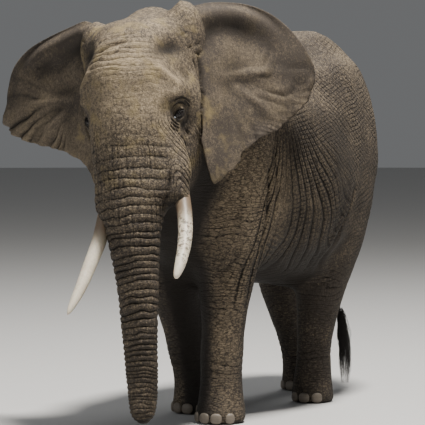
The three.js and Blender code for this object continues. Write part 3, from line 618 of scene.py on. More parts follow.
class Place:
    """Where each point of the skin is: x, y, z on the body, and l, f, u on the head."""

    def __init__(self, points, normals):
        self.points, self.normals = points, normals
        self.on_body, self.on_head = in_body(points), in_head(points)
        self.x, self.y, self.z = self.on_body.T
        self.l, self.f, self.u = self.on_head.T
        self.rise = normals[:, 2]
        self.steep = smooth(0.85, 0.55, self.rise)
        self.trunk = smooth(-0.55, -0.80, self.u) * smooth(-0.16, -0.06, self.f)
        skull = smooth(-0.45, -0.28, self.f) * smooth(-0.95, -0.75, self.u)
        self.head = np.maximum(skull, self.trunk)
        self.body = 1 - self.head
        self.side = np.abs(self.x)
        self.fore = smooth(1.15, 0.85, self.y)
        self.leg = smooth(1.35, 1.05, self.z) * self.body


# Soft forms, alike on both sides: where (across, back or forward, up), their radii and height.
BODY_FORMS = [
    ((0.42, 1.66, 2.70), (0.16, 0.20, 0.16), 0.018),  # hip bone
    ((0.00, 1.50, 3.10), (0.28, 0.34, 0.20), 0.010),  # top of the rump
    ((0.28, 1.82, 2.92), (0.22, 0.24, 0.16), -0.014),
    ((0.62, 1.32, 2.30), (0.20, 0.26, 0.26), -0.030),  # hollow before the hip
    ((0.52, 0.02, 2.45), (0.30, 0.16, 0.50), 0.020),  # shoulder blade
    ((0.62, 0.30, 1.95), (0.30, 0.12, 0.45), -0.020),  # behind the shoulder
    ((0.50, -0.12, 1.42), (0.22, 0.22, 0.16), 0.018),  # elbow
    ((0.38, 1.30, 0.98), (0.20, 0.14, 0.13), 0.016),  # kneecap
    ((0.20, 0.02, 1.00), (0.10, 0.20, 0.25), 0.014),  # inner side of the forearm
]
HEAD_FORMS = [
    ((0.30, -0.05, 0.50), (0.10, 0.16, 0.075), -0.042),  # temple
    ((0.38, 0.05, 0.135), (0.08, 0.11, 0.045), 0.018),  # brow
    ((0.39, -0.13, -0.10), (0.10, 0.10, 0.13), -0.018),  # behind the eye
    ((0.31, 0.19, 0.02), (0.05, 0.08, 0.09), -0.010),  # before the eye
    ((0.37, 0.14, -0.12), (0.07, 0.08, 0.04), -0.008),  # below the eye
    ((0.14, 0.28, 0.34), (0.12, 0.14, 0.12), 0.010),  # bosses of the forehead
    ((0.42, 0.17, -0.42), (0.08, 0.14, 0.10), 0.012),  # root of the tusk
]

# Lines pressed into the skin or raised from it: the points on the way, its width and its depth.
HEAD_LINES = [
    # the ridge and the hollow of the temple
    ([(0.25, 0.20, 0.385), (0.32, 0.12, 0.31), (0.40, -0.02, 0.19)], 0.038, 0.017),
    ([(0.31, 0.04, 0.42), (0.38, -0.08, 0.33), (0.42, -0.18, 0.25)],
     0.050, -0.010),
    # the folds and the roll across the crown
    ([(-0.18, 0.14, 0.47), (-0.11, 0.19, 0.53), (0, 0.20, 0.56), (0.09, 0.16, 0.585)],
     0.018, -0.019),
    ([(-0.15, 0.17, 0.43), (-0.05, 0.22, 0.49), (0.06, 0.20, 0.52), (0.16, 0.12, 0.53)],
     0.030, 0.010),
    ([(-0.12, 0.12, 0.60), (-0.02, 0.14, 0.625), (0.12, 0.10, 0.645)], 0.013, -0.012),
    ([(-0.20, 0.08, 0.56), (-0.13, 0.12, 0.59)], 0.012, -0.006),
    # the ear canal, and the wrinkles that run up and down from it
    ([(0.43, -0.27, 0.455), (0.48, -0.35, 0.435), (0.53, -0.42, 0.415)],
     0.011, -0.016),
    ([(0.40, -0.20, 0.475), (0.45, -0.28, 0.515), (0.50, -0.36, 0.525)], 0.008, -0.007),
    ([(0.38, -0.18, 0.525), (0.43, -0.26, 0.565), (0.48, -0.34, 0.580)], 0.008, -0.006),
    ([(0.37, -0.16, 0.575), (0.41, -0.24, 0.615), (0.46, -0.32, 0.635)], 0.008, -0.005),
    ([(0.42, -0.24, 0.44), (0.45, -0.28, 0.33), (0.475, -0.29, 0.2), (0.475, -0.27, 0.05)],
     0.010, -0.010),
    ([(0.40, -0.20, 0.42), (0.43, -0.24, 0.30), (0.45, -0.25, 0.15), (0.44, -0.22, 0)],
     0.009, -0.006),
    # behind the cheek, below the eye, and the temporal gland
    ([(0.48, -0.36, 0.40), (0.50, -0.36, 0.2), (0.50, -0.31, 0), (0.43, -0.25, -0.2)],
     0.020, -0.022),
    ([(0.365, 0.11, -0.12), (0.385, 0.06, -0.17), (0.38, -0.07, -0.21), (0.385, -0.14, -0.27)],
     0.011, -0.012),
    ([(0.41, -0.10, -0.12), (0.40, -0.14, -0.17)], 0.010, -0.010),
    # the edge of the tusk's sheath and the corner of the mouth
    ([(0.33, 0.27, -0.42), (0.30, 0.285, -0.55), (0.275, 0.28, -0.64), (0.24, 0.24, -0.75)],
     0.020, -0.022),
    ([(0.40, 0.06, -0.47), (0.35, 0.02, -0.60), (0.26, 0.02, -0.72)],
     0.022, -0.014),
]
BODY_LINES = [
    # behind the foreleg
    ([(0.64, 0.05, 2.10), (0.62, 0.085, 1.76), (0.57, 0.09, 1.45), (0.48, 0.12, 1.22)],
     0.022, -0.026),
    ([(0.66, 0.15, 2.20), (0.66, 0.19, 1.85), (0.63, 0.20, 1.55)], 0.018, -0.014),
    # the web of skin from the knee up to the flank
    ([(0.36, 1.36, 1.06), (0.56, 1.22, 1.28), (0.69, 1.33, 1.58), (0.69, 1.52, 1.84)],
     0.040, -0.036),
    ([(0.34, 1.22, 1.05), (0.55, 1.07, 1.28), (0.71, 1.20, 1.60), (0.71, 1.42, 1.88)],
     0.040, 0.018),
    # the back of the thigh
    ([(0.15, 1.62, 1.00), (0.22, 1.90, 1.35), (0.20, 2.08, 1.75), (0.10, 2.15, 2.05)],
     0.030, -0.020),
]


def soft_forms(place):
    """The sum of all the forms' heights at each point."""
    body, head = (
        sum(high * np.prod(hill(at, spot, size), axis=1) for spot, size, high in forms)
        for at, forms in (
            (np.stack([place.side, place.y, place.z], 1), BODY_FORMS),
            (np.stack([np.abs(place.l), place.f, place.u], 1), HEAD_FORMS),
        )
    )
    return body * place.body + head * place.head


MIRROR = (-1, 1, 1)
LINE_STEPS = 40
LINE_REACH = 0.12  # how far from a line the skin is still looked at


def along_lines(points, lines):
    """The sum of all the lines' depths at each point. A line that starts below 0 has no twin."""
    total = np.zeros(len(points))
    for path, width, depth in lines:
        spots = points if path[0][0] < 0 else points * np.where(points[:, :1] < 0, MIRROR, 1)
        way = evenly(path, np.linspace(0, 1, LINE_STEPS))
        near = np.all((spots > way.min(0) - LINE_REACH) & (spots < way.max(0) + LINE_REACH), axis=1)
        if not near.any():
            continue
        spots = spots[near]
        for _ in range(2):  # lays the line on the skin, then smooths it
            way = spots[np.linalg.norm(spots[:, None] - way[None], axis=2).argmin(axis=0)]
            for _ in range(3):
                way[1:-1] = (way[:-2] + 2 * way[1:-1] + way[2:]) / 4
        gaps = np.linalg.norm(spots[:, None] - way[None], axis=2)
        nearest = gaps.argmin(axis=1)
        fade = smooth(-1, 8, nearest) * smooth(LINE_STEPS, LINE_STEPS - 9, nearest)
        total[near] += depth * fade * np.exp(-((gaps.min(axis=1) / width) ** 2))
    return total


# The furrows of the brow and trunk: how far apart they lie, against how far below the eyes.
FURROW_GAP = (
    [-0.7, 0.0, 0.2, 0.5, 0.8, 1.5, 1.8, 2.3],
    [0.050, 0.055, 0.080, 0.070, 0.056, 0.054, 0.034, 0.030],
)
FURROW_UNEVEN = 0.22  # how much one gap differs from the next, as a share
FURROW_SEED = 11


def furrow_places():
    """How far below the eyes each furrow lies, from the brow to the trunk's tip."""
    random = np.random.default_rng(FURROW_SEED)
    places = [FURROW_GAP[0][0]]
    while places[-1] < FURROW_GAP[0][-1]:
        gap = np.interp(places[-1], *FURROW_GAP)
        places.append(places[-1] + gap * (1 + random.uniform(-FURROW_UNEVEN, FURROW_UNEVEN)))
    return np.array(places)


FURROWS = furrow_places()
FURROW_DEPTH = (
    [-0.42, -0.30, 0.05, 0.12, 0.27, 0.5, 0.75, 0.9, 1.1, 1.6, 1.9, 2.3],
    [0.0032, 0.001, 0.0008, 0.0016, 0.0036, 0.0044, 0.007, 0.0098, 0.0105, 0.009, 0.0065, 0.0045],
)
LOOK_AHEAD = 0.02  # the step over which the furrows' spacing is measured


def furrows(place):
    """The furrows across the brow and round the trunk: their count so far, depth and spacing."""
    down = -place.u + 0.20 * (place.f - 0.40) + 0.15 * place.l * hill(-place.u, 1.25, 0.3)
    down = down + 0.016 * noise(place.on_head * (1, 1, 2), 0.16, 2)
    down = down + 0.009 * noise(place.points, 0.06, 3)
    count, ahead = (np.interp(d, FURROWS, range(len(FURROWS))) for d in (down, down + LOOK_AHEAD))
    spacing = LOOK_AHEAD / np.maximum(ahead - count, 0.02)
    front = smooth(0.36, 0.26, np.abs(place.l)) * smooth(0.02, 0.20, place.f) * place.head
    where = np.maximum(front, place.trunk)
    patchy = uneven(place.points, 0.85, 0.45, 0.11, 5, 0.25, 1.3)
    return count, np.interp(down, *FURROW_DEPTH) * where * patchy, spacing


def uprights(place):
    """The lines that run down the face and cross the furrows: their count and their depth."""
    turn = np.arctan2(np.abs(place.l), np.maximum(place.f + 0.10, -0.3))
    lean = 0.54 * (place.u + 0.1) * smooth(0.55, 0.85, turn) * smooth(0.05, -0.1, place.u)
    count = (0.36 * turn + lean) / 0.031 + 0.45 * noise(place.points, 0.13, 8)
    cheek = smooth(0.20, 0.34, np.abs(place.l)) * smooth(0.10, -0.10, place.u)
    bridge = smooth(0.02, -0.15, place.u) * smooth(-1.1, -0.7, place.u)
    depth = (0.0026 * cheek + 0.0030 * bridge + 0.0008) * place.head
    return count, depth * uneven(place.points, 0.55, 0.7, 0.10, 9, 0, 1.2)


FAN = (0.31, 2.68)  # where the flank's folds seem to hang from: how far back and how high
FAN_GAP = 0.085  # the angle between them, in radians
CROSS_DEPTH = 0.0022  # of the lines over the haunch


def flank_folds(place):
    """The folds that hang behind the shoulder and lean back: their count, depth and spacing."""
    back, below = place.y - FAN[0], FAN[1] - place.z
    lean = np.arctan2(back, np.maximum(below, -0.2))
    far = np.hypot(back, below)
    tall = place.points * (1, 1, 0.4)
    count = lean / FAN_GAP + 0.55 * noise(tall, 0.20, 21)
    where = smooth(-0.42, -0.25, lean) * smooth(1.05, 0.35, lean) * smooth(0.28, 0.42, place.side)
    where = where * smooth(0.20, 0.50, far) * smooth(1.90, 1.50, far)
    deep = uneven(tall, 0.70, 0.65, 0.24, 22, 0.08, 1.2)
    return count, 0.016 * where * deep * place.body, FAN_GAP * far


def flank_net(place):
    """The lines that cross those folds over the haunch: their count and their depth."""
    count = (0.232 * place.y - 0.973 * place.z) / 0.034 + 0.6 * noise(place.points, 0.20, 24)
    where = smooth(0.20, 0.60, place.y) * smooth(0.90, 1.05, place.z) * place.steep * place.body
    return count, CROSS_DEPTH * where * uneven(place.points, 0.6, 0.7, 0.18, 25, 0.1, 1.2)


def haunch_lines(place):
    """The lines that run down and back over the haunch and rump: their count and their depth."""
    count = (0.51 * place.y + 0.86 * place.z) / 0.040 + 0.7 * noise(place.points, 0.22, 27)
    where = smooth(0.55, 1.0, place.y) * smooth(1.2, 1.7, place.z) * place.steep * place.body
    return count, CROSS_DEPTH * where * uneven(place.points, 0.65, 0.6, 0.20, 28, 0.15, 1.2)


def elbow_folds(place):
    """Short folds across the skin behind the elbow."""
    count = (0.34 * place.y + 0.94 * place.z) / 0.042 + 0.5 * noise(place.points, 0.16, 26)
    where = hill(place.y, 0.26, 0.20) * hill(place.z, 1.38, 0.17) * smooth(0.25, 0.4, place.side)
    return -0.007 * where * creases(count, 0.17) * place.body


def leg_count(place):
    """The count of the lines that run round the legs."""
    slant = place.z + 0.10 * (place.side - 0.38)
    return slant / 0.052 + 0.9 * noise(place.points * (1, 1, 1.6), 0.20, 31)


def leg_rings(place):
    """Creases round the legs at their joints."""
    count = leg_count(place)
    joint = hill(place.z, 0.45, 0.12) * place.fore + hill(place.z, 0.40, 0.11) * (1 - place.fore)
    knee = hill(place.z, 1.0, 0.14) * (1 - place.fore) + hill(place.z, 1.15, 0.12) * place.fore
    broken = uneven(place.points, 0.5, 0.8, 0.15, 33, 0.05, 1.1)
    return -place.leg * broken * (0.0012 + 0.007 * joint + 0.004 * knee) * creases(count, 0.16)


def shaded_forms(place):
    """All that is carved into or raised from the plain flesh, in metres outwards."""
    count, depth, spacing = furrows(place)
    rolls = -depth * creases(count, np.clip(0.0085 / spacing, 0.06, 0.22))
    rolls += 0.12 * depth * np.cos(2 * math.pi * (count - 0.5)) * smooth(0.13, 0.06, spacing)
    line, fine = uprights(place)
    fold, deep, gap = flank_folds(place)
    hanging = -deep * creases(fold, np.clip(0.014 / gap, 0.10, 0.24))
    hanging += -0.35 * deep * creases(2 * fold + 0.3, 0.2)
    cross, shallow = flank_net(place)
    haunch, slight = haunch_lines(place)
    return (
        soft_forms(place)
        + along_lines(place.on_head, HEAD_LINES) * place.head
        + along_lines(place.on_body, BODY_LINES) * place.body
        + rolls
        - fine * creases(line, 0.17)
        + hanging
        - shallow * creases(cross / 2, 0.13)
        - slight * creases(haunch / 2, 0.13)
        + elbow_folds(place)
        + leg_rings(place)
        + 0.0045 * noise(place.points, 0.32, 41)
        + 0.0016 * noise(place.points, 0.09, 42)
    )


# ---------------------------------------------------------------- eyelids

EYEBALL = 0.050
EYE_LONG = 0.060  # half the opening's length
EYE_TALL = 0.0215  # its height above the line between its corners
EYE_LOOK = (0.76, 0.65)  # where an eye looks: to its side and forward
EYE_TILT = math.radians(30)  # the rear corner lies higher
LID = 0.004  # how far a lid stands off the eyeball
LID_REACH = 0.20  # how far from an eye its folds are shaped
LID_OPEN = 0.036  # how far the skin is pressed in between the lids, behind the eyeball's front

# Folds round an eye, seen along its look: an arc's centre (backwards, up), its radius upwards, the
# angles at which it starts and ends, its width and its depth. Backwards an arc is stretched.
FOLD_STRETCH = 1.3
ABOVE, BELOW, BEHIND = (0.014, 0.002), (-0.008, -0.006), (-0.020, -0.020)
LID_FOLDS = [
    (ABOVE, 0.081, 25, 160, 0.0055, 0.0085),
    (ABOVE, 0.098, 20, 75, 0.0050, 0.0060),
    (ABOVE, 0.116, 22, 140, 0.0048, 0.0075),
    (ABOVE, 0.150, 18, 62, 0.0060, 0.0050),
    (BELOW, 0.058, 215, 285, 0.0050, 0.0050),
    (BELOW, 0.082, 190, 270, 0.0065, 0.0100),
    (BELOW, 0.106, 202, 265, 0.0065, 0.0080),
    (BELOW, 0.132, 205, 260, 0.0065, 0.0060),
    (BEHIND, 0.105, -45, 15, 0.0090, 0.0060),
]


def eye_place(side):
    """An eyeball's centre, and the directions at it: where it looks, backwards and up across it."""
    sign = 1 if side == "left" else -1
    centre = EYES[side]
    look = HEAD_LEFT * sign * EYE_LOOK[0] + HEAD_FORWARD * EYE_LOOK[1]
    look /= np.linalg.norm(look)
    back = np.cross(HEAD_UP, look) * sign
    return centre, look, back, HEAD_UP


def eye_chart(points, side):
    """Each point as seen from the eyeball's centre: out along its look, backwards and up."""
    centre, look, back, up = eye_place(side)
    away = points - centre
    return away @ look, away @ back, away @ up


def tilted(back, up):
    """Turns a place on that chart, or its directions, to run along and across the opening."""
    c, s = math.cos(EYE_TILT), math.sin(EYE_TILT)
    return back * c + up * s, up * c - back * s


def opening(back, up):
    """1 inside the almond between the lids and 0 outside."""
    a, b = tilted(back, up)
    share = np.clip(np.abs(a) / EYE_LONG, 0, 1)
    tall = EYE_TALL * np.where(b > 0, 1.0, 0.8) * (1 - share**2)
    return smooth(1.12, 0.88, np.abs(b) / np.maximum(tall, 1e-4)) * smooth(1.03, 0.95, share)


def lid_fold_lines(back, up):
    """How deep the folds round an eye are at each place of its chart, and how they swell beside."""
    deep, beside = np.zeros(len(back)), np.zeros(len(back))
    for centre, radius, start, end, width, depth in LID_FOLDS:
        run, rise = (back - centre[0]) / FOLD_STRETCH, up - centre[1]
        gap = np.abs(np.hypot(run, rise) - radius)
        angle = np.degrees(np.arctan2(rise, run))
        share = (angle - start) % 360 / (end - start)
        fade = depth * smooth(0, 0.25, share) * smooth(1, 0.75, share)
        deep += fade * hill(gap, 0, width)
        beside += fade * hill(gap, 2.2 * width, 1.4 * width)
    return deep, beside


def shape_eyelids(points):
    """Draws the skin over each eyeball as two lids with folds round them, open between them."""
    points = points.copy()
    for side in EYES:
        look = eye_place(side)[1]
        out, back, up = eye_chart(points, side)
        span = np.hypot(back, up)
        near = (span < LID_REACH) & (out > -0.07) & (out < 0.13)
        hug = np.sqrt(np.clip((EYEBALL + LID) ** 2 - span**2, 1e-5, None))
        dome = (EYEBALL + LID) * (1 - 0.40 * (span / 0.08) ** 2)
        lid = hug + (dome - hug) * smooth(0.028, 0.048, span)
        hood = smooth(0.088, 0.046, span)
        level = out * (1 - hood) + lid * hood
        deep, beside = lid_fold_lines(back[near], up[near])
        level[near] += 0.4 * beside - deep
        inside = opening(back, up)
        rim = np.clip(4 * inside * (1 - inside), 0, 1)
        level = level + 0.0012 * rim - inside * LID_OPEN
        shift = np.where(near, (level - out) * smooth(0.195, 0.145, span), 0)
        points += shift[:, None] * look
    return points


# ---------------------------------------------------------------- materials


class Wire:
    """A socket's output, so that shader maths reads as an expression."""

    def __init__(self, graph, socket):
        self.graph = graph
        self.socket = socket

    def maths(self, operation, *others):
        return self.graph.maths(operation, self, *others)

    def __add__(self, other):
        return self.maths("ADD", other)

    def __sub__(self, other):
        return self.maths("SUBTRACT", other)

    def __mul__(self, other):
        return self.maths("MULTIPLY", other)

    def __rsub__(self, other):
        return self.graph.maths("SUBTRACT", other, self)

    __radd__ = __add__
    __rmul__ = __mul__

    def power(self, exponent):
        return self.maths("POWER", exponent)

    def clamped(self):
        return self.graph.node("ShaderNodeClamp", {}, self)

    def between(self, low, high):
        """0 at low and 1 at high."""
        smooth_step = {"interpolation_type": "SMOOTHSTEP"}
        return self.graph.node("ShaderNodeMapRange", smooth_step, self, low, high)


def opaque(colour):
    return colour if isinstance(colour, Wire) else (*colour, 1)


class Graph:
    """A material's nodes."""

    def __init__(self, name, **finish):
        self.material = bpy.data.materials.new(name)
        self.material.use_nodes = True
        self.tree = self.material.node_tree
        self.shader = self.tree.nodes["Principled BSDF"]
        self.set(self.shader, finish)

    def set(self, node, values):
        """Fills sockets by name or number: a wire is linked, None is left out."""
        items = values.items() if isinstance(values, dict) else enumerate(values)
        for name, value in items:
            name = name.replace("_", " ").title() if isinstance(name, str) else name
            socket = node.inputs[name]
            if isinstance(value, Wire):
                self.tree.links.new(value.socket, socket)
            elif value is not None:
                socket.default_value = value

    def node(self, kind, settings, *values, out=0, **named):
        node = self.tree.nodes.new(kind)
        for name, value in settings.items():
            setattr(node, name, value)
        self.set(node, list(values))
        self.set(node, named)
        return Wire(self, node.outputs[out])

    def maths(self, operation, *values):
        return self.node("ShaderNodeMath", {"operation": operation}, *values)

    def field(self, name):
        """One of the numbers that the mesh carries."""
        return self.node("ShaderNodeAttribute", {"attribute_name": name}, out="Fac")

    def place(self, scale=(1, 1, 1)):
        """Object coordinates, stretched."""
        spot = self.node("ShaderNodeTexCoord", {}, out="Object")
        sizes = tuple(1 / s for s in scale)
        return self.node("ShaderNodeMapping", {"vector_type": "TEXTURE"}, spot, None, None, sizes)

    def noise(self, spot, scale, detail=3.0, rough=0.5):
        return self.node("ShaderNodeTexNoise", {}, spot, None, scale, detail, rough)

    def warped(self, spot, scale, amount):
        """The same coordinates, pushed about by noise."""
        push = self.node("ShaderNodeTexNoise", {}, spot, None, scale, 2.0, out="Color")
        vector = "ShaderNodeVectorMath"
        centred = self.node(vector, {"operation": "SUBTRACT"}, push, (0.5, 0.5, 0.5))
        scaled = self.node(vector, {"operation": "SCALE"}, centred, scale=amount)
        return self.node(vector, {"operation": "ADD"}, spot, scaled)

    def cracks(self, spot, scale, width):
        """1 on plates of skin and 0 in the lines between them."""
        cells = {"feature": "DISTANCE_TO_EDGE"}
        edge = self.node("ShaderNodeTexVoronoi", cells, spot, None, scale, out="Distance")
        return edge.between(0.0, width)

    def mix(self, share, a, b):
        """From a to b, each a wire or a colour of three numbers."""
        mixed = self.tree.nodes.new("ShaderNodeMix")
        mixed.data_type = "RGBA"
        self.set(mixed, {0: share, 6: opaque(a), 7: opaque(b)})
        return Wire(self, mixed.outputs[2])

    def bump(self, height):
        """A normal from a height in metres."""
        return self.node("ShaderNodeBump", {}, strength=1.0, distance=1.0, height=height)

    def finish(self, **values):
        self.set(self.shader, values)
        return self.material


def skin_material(settings):
    g = Graph("elephant skin", roughness=0.82)
    g.shader.inputs["Specular IOR Level"].default_value = 0.18
    spot = g.place()
    wobble = g.noise(spot, 22.0, 3.0) - 0.5
    quiver = g.noise(spot, 70.0, 2.0) - 0.5

    def line(name, times, width, wander):
        """A crease wherever the count that the skin carries passes a whole number."""
        count = g.field(name) * times + wobble * wander + quiver * (0.4 * wander)
        return (1 - count.maths("PINGPONG", 0.5).between(0.0, width)) * g.field(f"{name}_deep")

    marks = (  # each line, how deep its bump is and how dark it is
        (line("furrow", 1, 0.16, 0.35), 0.0040, 1.0),
        (line("furrow", 3, 0.20, 1.2), 0.0016, 0.4),
        (line("upright", 1, 0.20, 0.5), 0.0030, 0.6),
        (line("upright", 2, 0.20, 1.0), 0.0012, 0.0),
        (line("fan", 1, 0.14, 0.3), 0.0055, 1.0),
        (line("fan", 3, 0.24, 0.7), 0.0026, 0.5),
        (line("net", 1, 0.22, 0.7), 0.0034, 0.8),
        (line("haunch", 1, 0.20, 0.7), 0.0034, 0.8),
        (line("band", 1, 0.14, 0.5), 0.0025, 0.42),
        (line("band", 2, 0.22, 0.9), 0.0015, 0.252),
    )
    legs, thigh, ear = g.field("legs"), g.field("thigh"), g.field("ear")
    rolls = (g.field("furrow").maths("PINGPONG", 0.5) * 2.0).power(0.6) * g.field("furrow_deep")

    soft = g.warped(spot, 12.0, 0.04)
    plates = g.cracks(soft, 38.0, 0.22)
    grains = g.cracks(g.warped(spot, 40.0, 0.014), 100.0, 0.3)
    across = g.cracks(g.warped(g.place((1, 1, 3.2)), 10.0, 0.09), 17.0, 0.16)
    tall = g.cracks(g.warped(g.place((1, 1, 0.30)), 10.0, 0.05), 40.0, 0.16)
    grit = g.noise(spot, 230.0, 2.0)

    cells = across * legs + tall * thigh + plates * (1 - legs - thigh)
    cells = 1 - (1 - cells) * (1 - 0.7 * ear) * (1 - g.field("plain"))
    cracks = (1 - cells) * 0.0016 + (1 - grains) * 0.0007
    height = grit * 0.0006 + rolls * 0.0045 - cracks - sum(mark * deep for mark, deep, _ in marks)

    blotch = g.noise(spot, 3.0, 4.0, 0.6) - 0.5
    speckle = g.noise(spot, 42.0, 3.0, 0.65) - 0.5
    fleck = g.noise(g.warped(spot, 30.0, 0.02), 95.0, 2.0, 0.6) - 0.5
    specks = (speckle * 1.9 + fleck * 1.6) * (1 - 0.55 * ear - 0.45 * g.field("band_deep"))
    # Paler where dusted, and where painted highlights lie in the same field.
    dust_and_highlight_share = (g.field("dust_and_highlight") + blotch * 0.9 + specks).clamped()
    warm = (g.noise(spot, 7.0, 3.0, 0.6).between(0.48, 0.72) * g.field("ochre")).clamped()
    # Painted shade in the lines and cracks: they are coloured darker as well as bumped.
    dark = sum(mark * tone for mark, _, tone in marks).clamped() * 0.86
    dark = (dark + (1 - cells) * (0.36 + 0.25 * legs) + (1 - grains) * 0.16).clamped()
    base = g.mix(dust_and_highlight_share, settings.mud, settings.dust_and_highlight)
    # Ochre earth; then painted shade from the shade field, and the crease colour as painted shade
    # in the lines, cracks and hollows.
    for share, colour in (
        (warm, settings.ochre),
        (g.field("shade"), settings.dark),
        (dark, settings.crease),
        (g.field("hollow_shade"), settings.crease),
    ):
        base = g.mix(share, base, colour)
    rough = 0.80 - 0.14 * g.field("shade") + 0.1 * speckle
    return g.finish(base_color=base, roughness=rough, normal=g.bump(height))


def eye_material():
    g = Graph("wet eye", roughness=0.07)
    g.shader.inputs["Specular IOR Level"].default_value = 0.35
    colour = g.mix(g.noise(g.place(), 220.0), (0.006, 0.006, 0.008), (0.018, 0.014, 0.013))
    # The pupil and rim are the eye's own colours; the pale bead in the corner is a painted glint.
    for name, tone in (
        ("pupil", (0.003, 0.002, 0.002)),
        ("rim", (0.012, 0.009, 0.008)),
        ("tear", (0.75, 0.80, 0.86)),
    ):
        colour = g.mix(g.field(name), colour, tone)
    return g.finish(base_color=colour)


def ivory_material(settings):
    g = Graph("worn ivory", roughness=0.42)
    g.shader.inputs["Coat Weight"].default_value = 0.15
    g.shader.inputs["Subsurface Weight"].default_value = 0.06
    spot = g.place()
    run = g.field("run")
    broad = g.noise(g.warped(spot, 4.0, 0.1), 6.0, 4.0, 0.6)
    speck = g.noise(spot, 34.0, 4.0, 0.7)
    streak = g.noise(g.place((1, 1, 0.12)), 42.0, 3.0, 0.6)
    tone = (broad * 0.6 + streak * 0.5 - 0.1).clamped()
    colour = g.mix(tone, settings.ivory_shade, settings.ivory)
    pitted = run.between(0.30, 0.45) * (1 - run.between(0.80, 0.92)) * g.field("worn")
    spots = (speck.between(0.50, 0.57) * pitted).clamped()
    colour = g.mix(spots * 0.85, colour, (0.10, 0.075, 0.05))
    colour = g.mix(g.field("root"), colour, (0.16, 0.115, 0.075))
    height = streak * 0.0006 + speck * 0.0004
    return g.finish(base_color=colour, roughness=0.34 + speck * 0.3, normal=g.bump(height))


def nail_material():
    g = Graph("toenail horn", roughness=0.55)
    bands = g.noise(g.place((0.5, 0.5, 3.0)), 34.0)
    tone = (bands * 0.7 + g.noise(g.place(), 30.0) * 0.5 - 0.1).clamped()
    colour = g.mix(tone, (0.09, 0.074, 0.058), (0.22, 0.185, 0.145))
    return g.finish(base_color=colour, normal=g.bump(bands * 0.0012))


def hair_material():
    g = Graph("stiff black hair", roughness=0.5)
    tone = g.noise(g.place(), 24.0)
    return g.finish(base_color=g.mix(tone, (0.006, 0.005, 0.0045), (0.03, 0.024, 0.02)))


# ---------------------------------------------------------------- settings


def colour_setting(name, description, default):
    return FloatVectorProperty(
        name=name, description=description, default=default, subtype="COLOR", min=0, max=1
    )


class SkinSettings(bpy.types.PropertyGroup):
    voxel: FloatProperty(
        name="Voxel", description="Grain of the first mesh", default=0.028, unit="LENGTH"
    )
    smoothing: IntProperty(
        name="Smoothing", description="Rounds that smooth the facets away", default=18
    )
    triangles: IntProperty(
        name="Triangles", description="Most triangles in the skin", default=188000
    )
    # The pale end: dry dusted skin, and painted highlights where the skin is lit.
    dust_and_highlight: colour_setting("Dust", "Dry dusted skin", (0.345, 0.270, 0.178))
    mud: colour_setting("Mud", "Plain skin", (0.066, 0.054, 0.044))
    # Painted shade, and round the eyes their wet dark skin.
    dark: colour_setting("Dark", "Damp or shaded skin", (0.026, 0.022, 0.019))
    ochre: colour_setting("Ochre", "Yellowish earth on the face", (0.30, 0.230, 0.110))
    # Painted shade in folds, lines, cracks and hollows.
    crease: colour_setting("Crease", "Skin deep in a fold", (0.014, 0.0115, 0.0095))


class TuskSettings(bpy.types.PropertyGroup):
    ivory: colour_setting("Ivory", "Clean ivory", (0.84, 0.79, 0.67))
    ivory_shade: colour_setting("Stain", "Stained ivory", (0.44, 0.36, 0.25))


class StageSettings(bpy.types.PropertyGroup):
    distance: FloatProperty(
        name="Distance", description="From the camera to the elephant", default=20.0, unit="LENGTH"
    )
    height: FloatProperty(
        name="Height", description="Of the camera above the floor", default=2.56, unit="LENGTH"
    )
    azimuth: FloatProperty(
        name="Azimuth", description="Of the camera", default=math.radians(30), unit="ROTATION"
    )
    pitch: FloatProperty(
        name="Pitch", description="Of the camera", default=math.radians(2.645), unit="ROTATION"
    )
    lens: FloatProperty(name="Lens", description="Focal length in millimetres", default=211.76)


# ---------------------------------------------------------------- operators


class ELEPHANT_OT_skin(bpy.types.Operator):
    """Builds one continuous skin over all the flesh, with its folds, lids and creases"""

    bl_idname = "elephant.skin"
    bl_label = "Skin"

    def execute(self, context):
        settings = context.scene.elephant_skin
        skin = body_mesh(settings)
        subdivide_where(skin, is_head_or_trunk(points_of(skin.data)))
        add_field(skin.data, "ear", add_ears(skin))
        carve(skin)
        open_eyes(skin)
        thin_out(skin, settings.triangles)
        paint(skin)
        finished(skin, skin_material(settings), "skin", *FLESH)
        return {"FINISHED"}


EAR_GAP_DEPTH = 0.030
FINER = (0.150, 0.075)  # how near an eye the mesh is split once, and once more
SPARED = 0.145  # how near an eye no triangle is taken away


def carve(skin):
    """Moves the skin in and out, the ears left out, and sinks the gap before them."""
    place = Place(points_of(skin.data), normals_of(skin.data))
    ear = field_of(skin.data, "ear")
    lift = shaded_forms(place) * (1 - np.clip(ear * 1.5, 0, 1))
    lift = lift - EAR_GAP_DEPTH * ear_gap(place, ear, edges_of(skin.data))
    points = place.points + place.normals * lift[:, None]
    points[:, 2] = np.maximum(points[:, 2], 0)
    put_points(skin.data, points)


def ear_gap(place, ear, edges):
    """1 in the dark gap between the cheek and the front of an ear, 0 away from it."""
    seam = relaxed(np.clip(hill(ear, 0.45, 0.30) - 0.12, 0, 1), edges, 8)
    facing = smooth(0.48, 0.38, place.u) * smooth(0.3, -0.3, place.normals[:, 1])
    return np.clip(seam * 2.5 * facing, 0, 1)


def from_eyes(points):
    """How far each point is from the nearer eyeball's centre."""
    return np.min([np.linalg.norm(points - centre, axis=1) for centre in EYES.values()], axis=0)


def open_eyes(skin):
    """Gives the skin round each eye a finer mesh, then shapes the lids."""
    for reach in FINER:
        subdivide_where(skin, from_eyes(points_of(skin.data)) < reach)
    put_points(skin.data, shape_eyelids(points_of(skin.data)))


def thin_out(skin, triangles):
    """Takes away triangles where the skin is plain, and none round the eyes."""
    now = sum(len(f.vertices) - 2 for f in skin.data.polygons)
    if now <= triangles:
        return
    group = skin.vertex_groups.new(name="thin")
    plain = np.flatnonzero(from_eyes(points_of(skin.data)) > SPARED)
    group.add(plain.tolist(), 1.0, "REPLACE")
    share = triangles / now
    apply_modifier(skin, "DECIMATE", ratio=share, vertex_group="thin", vertex_group_factor=1.0)
    skin.vertex_groups.clear()


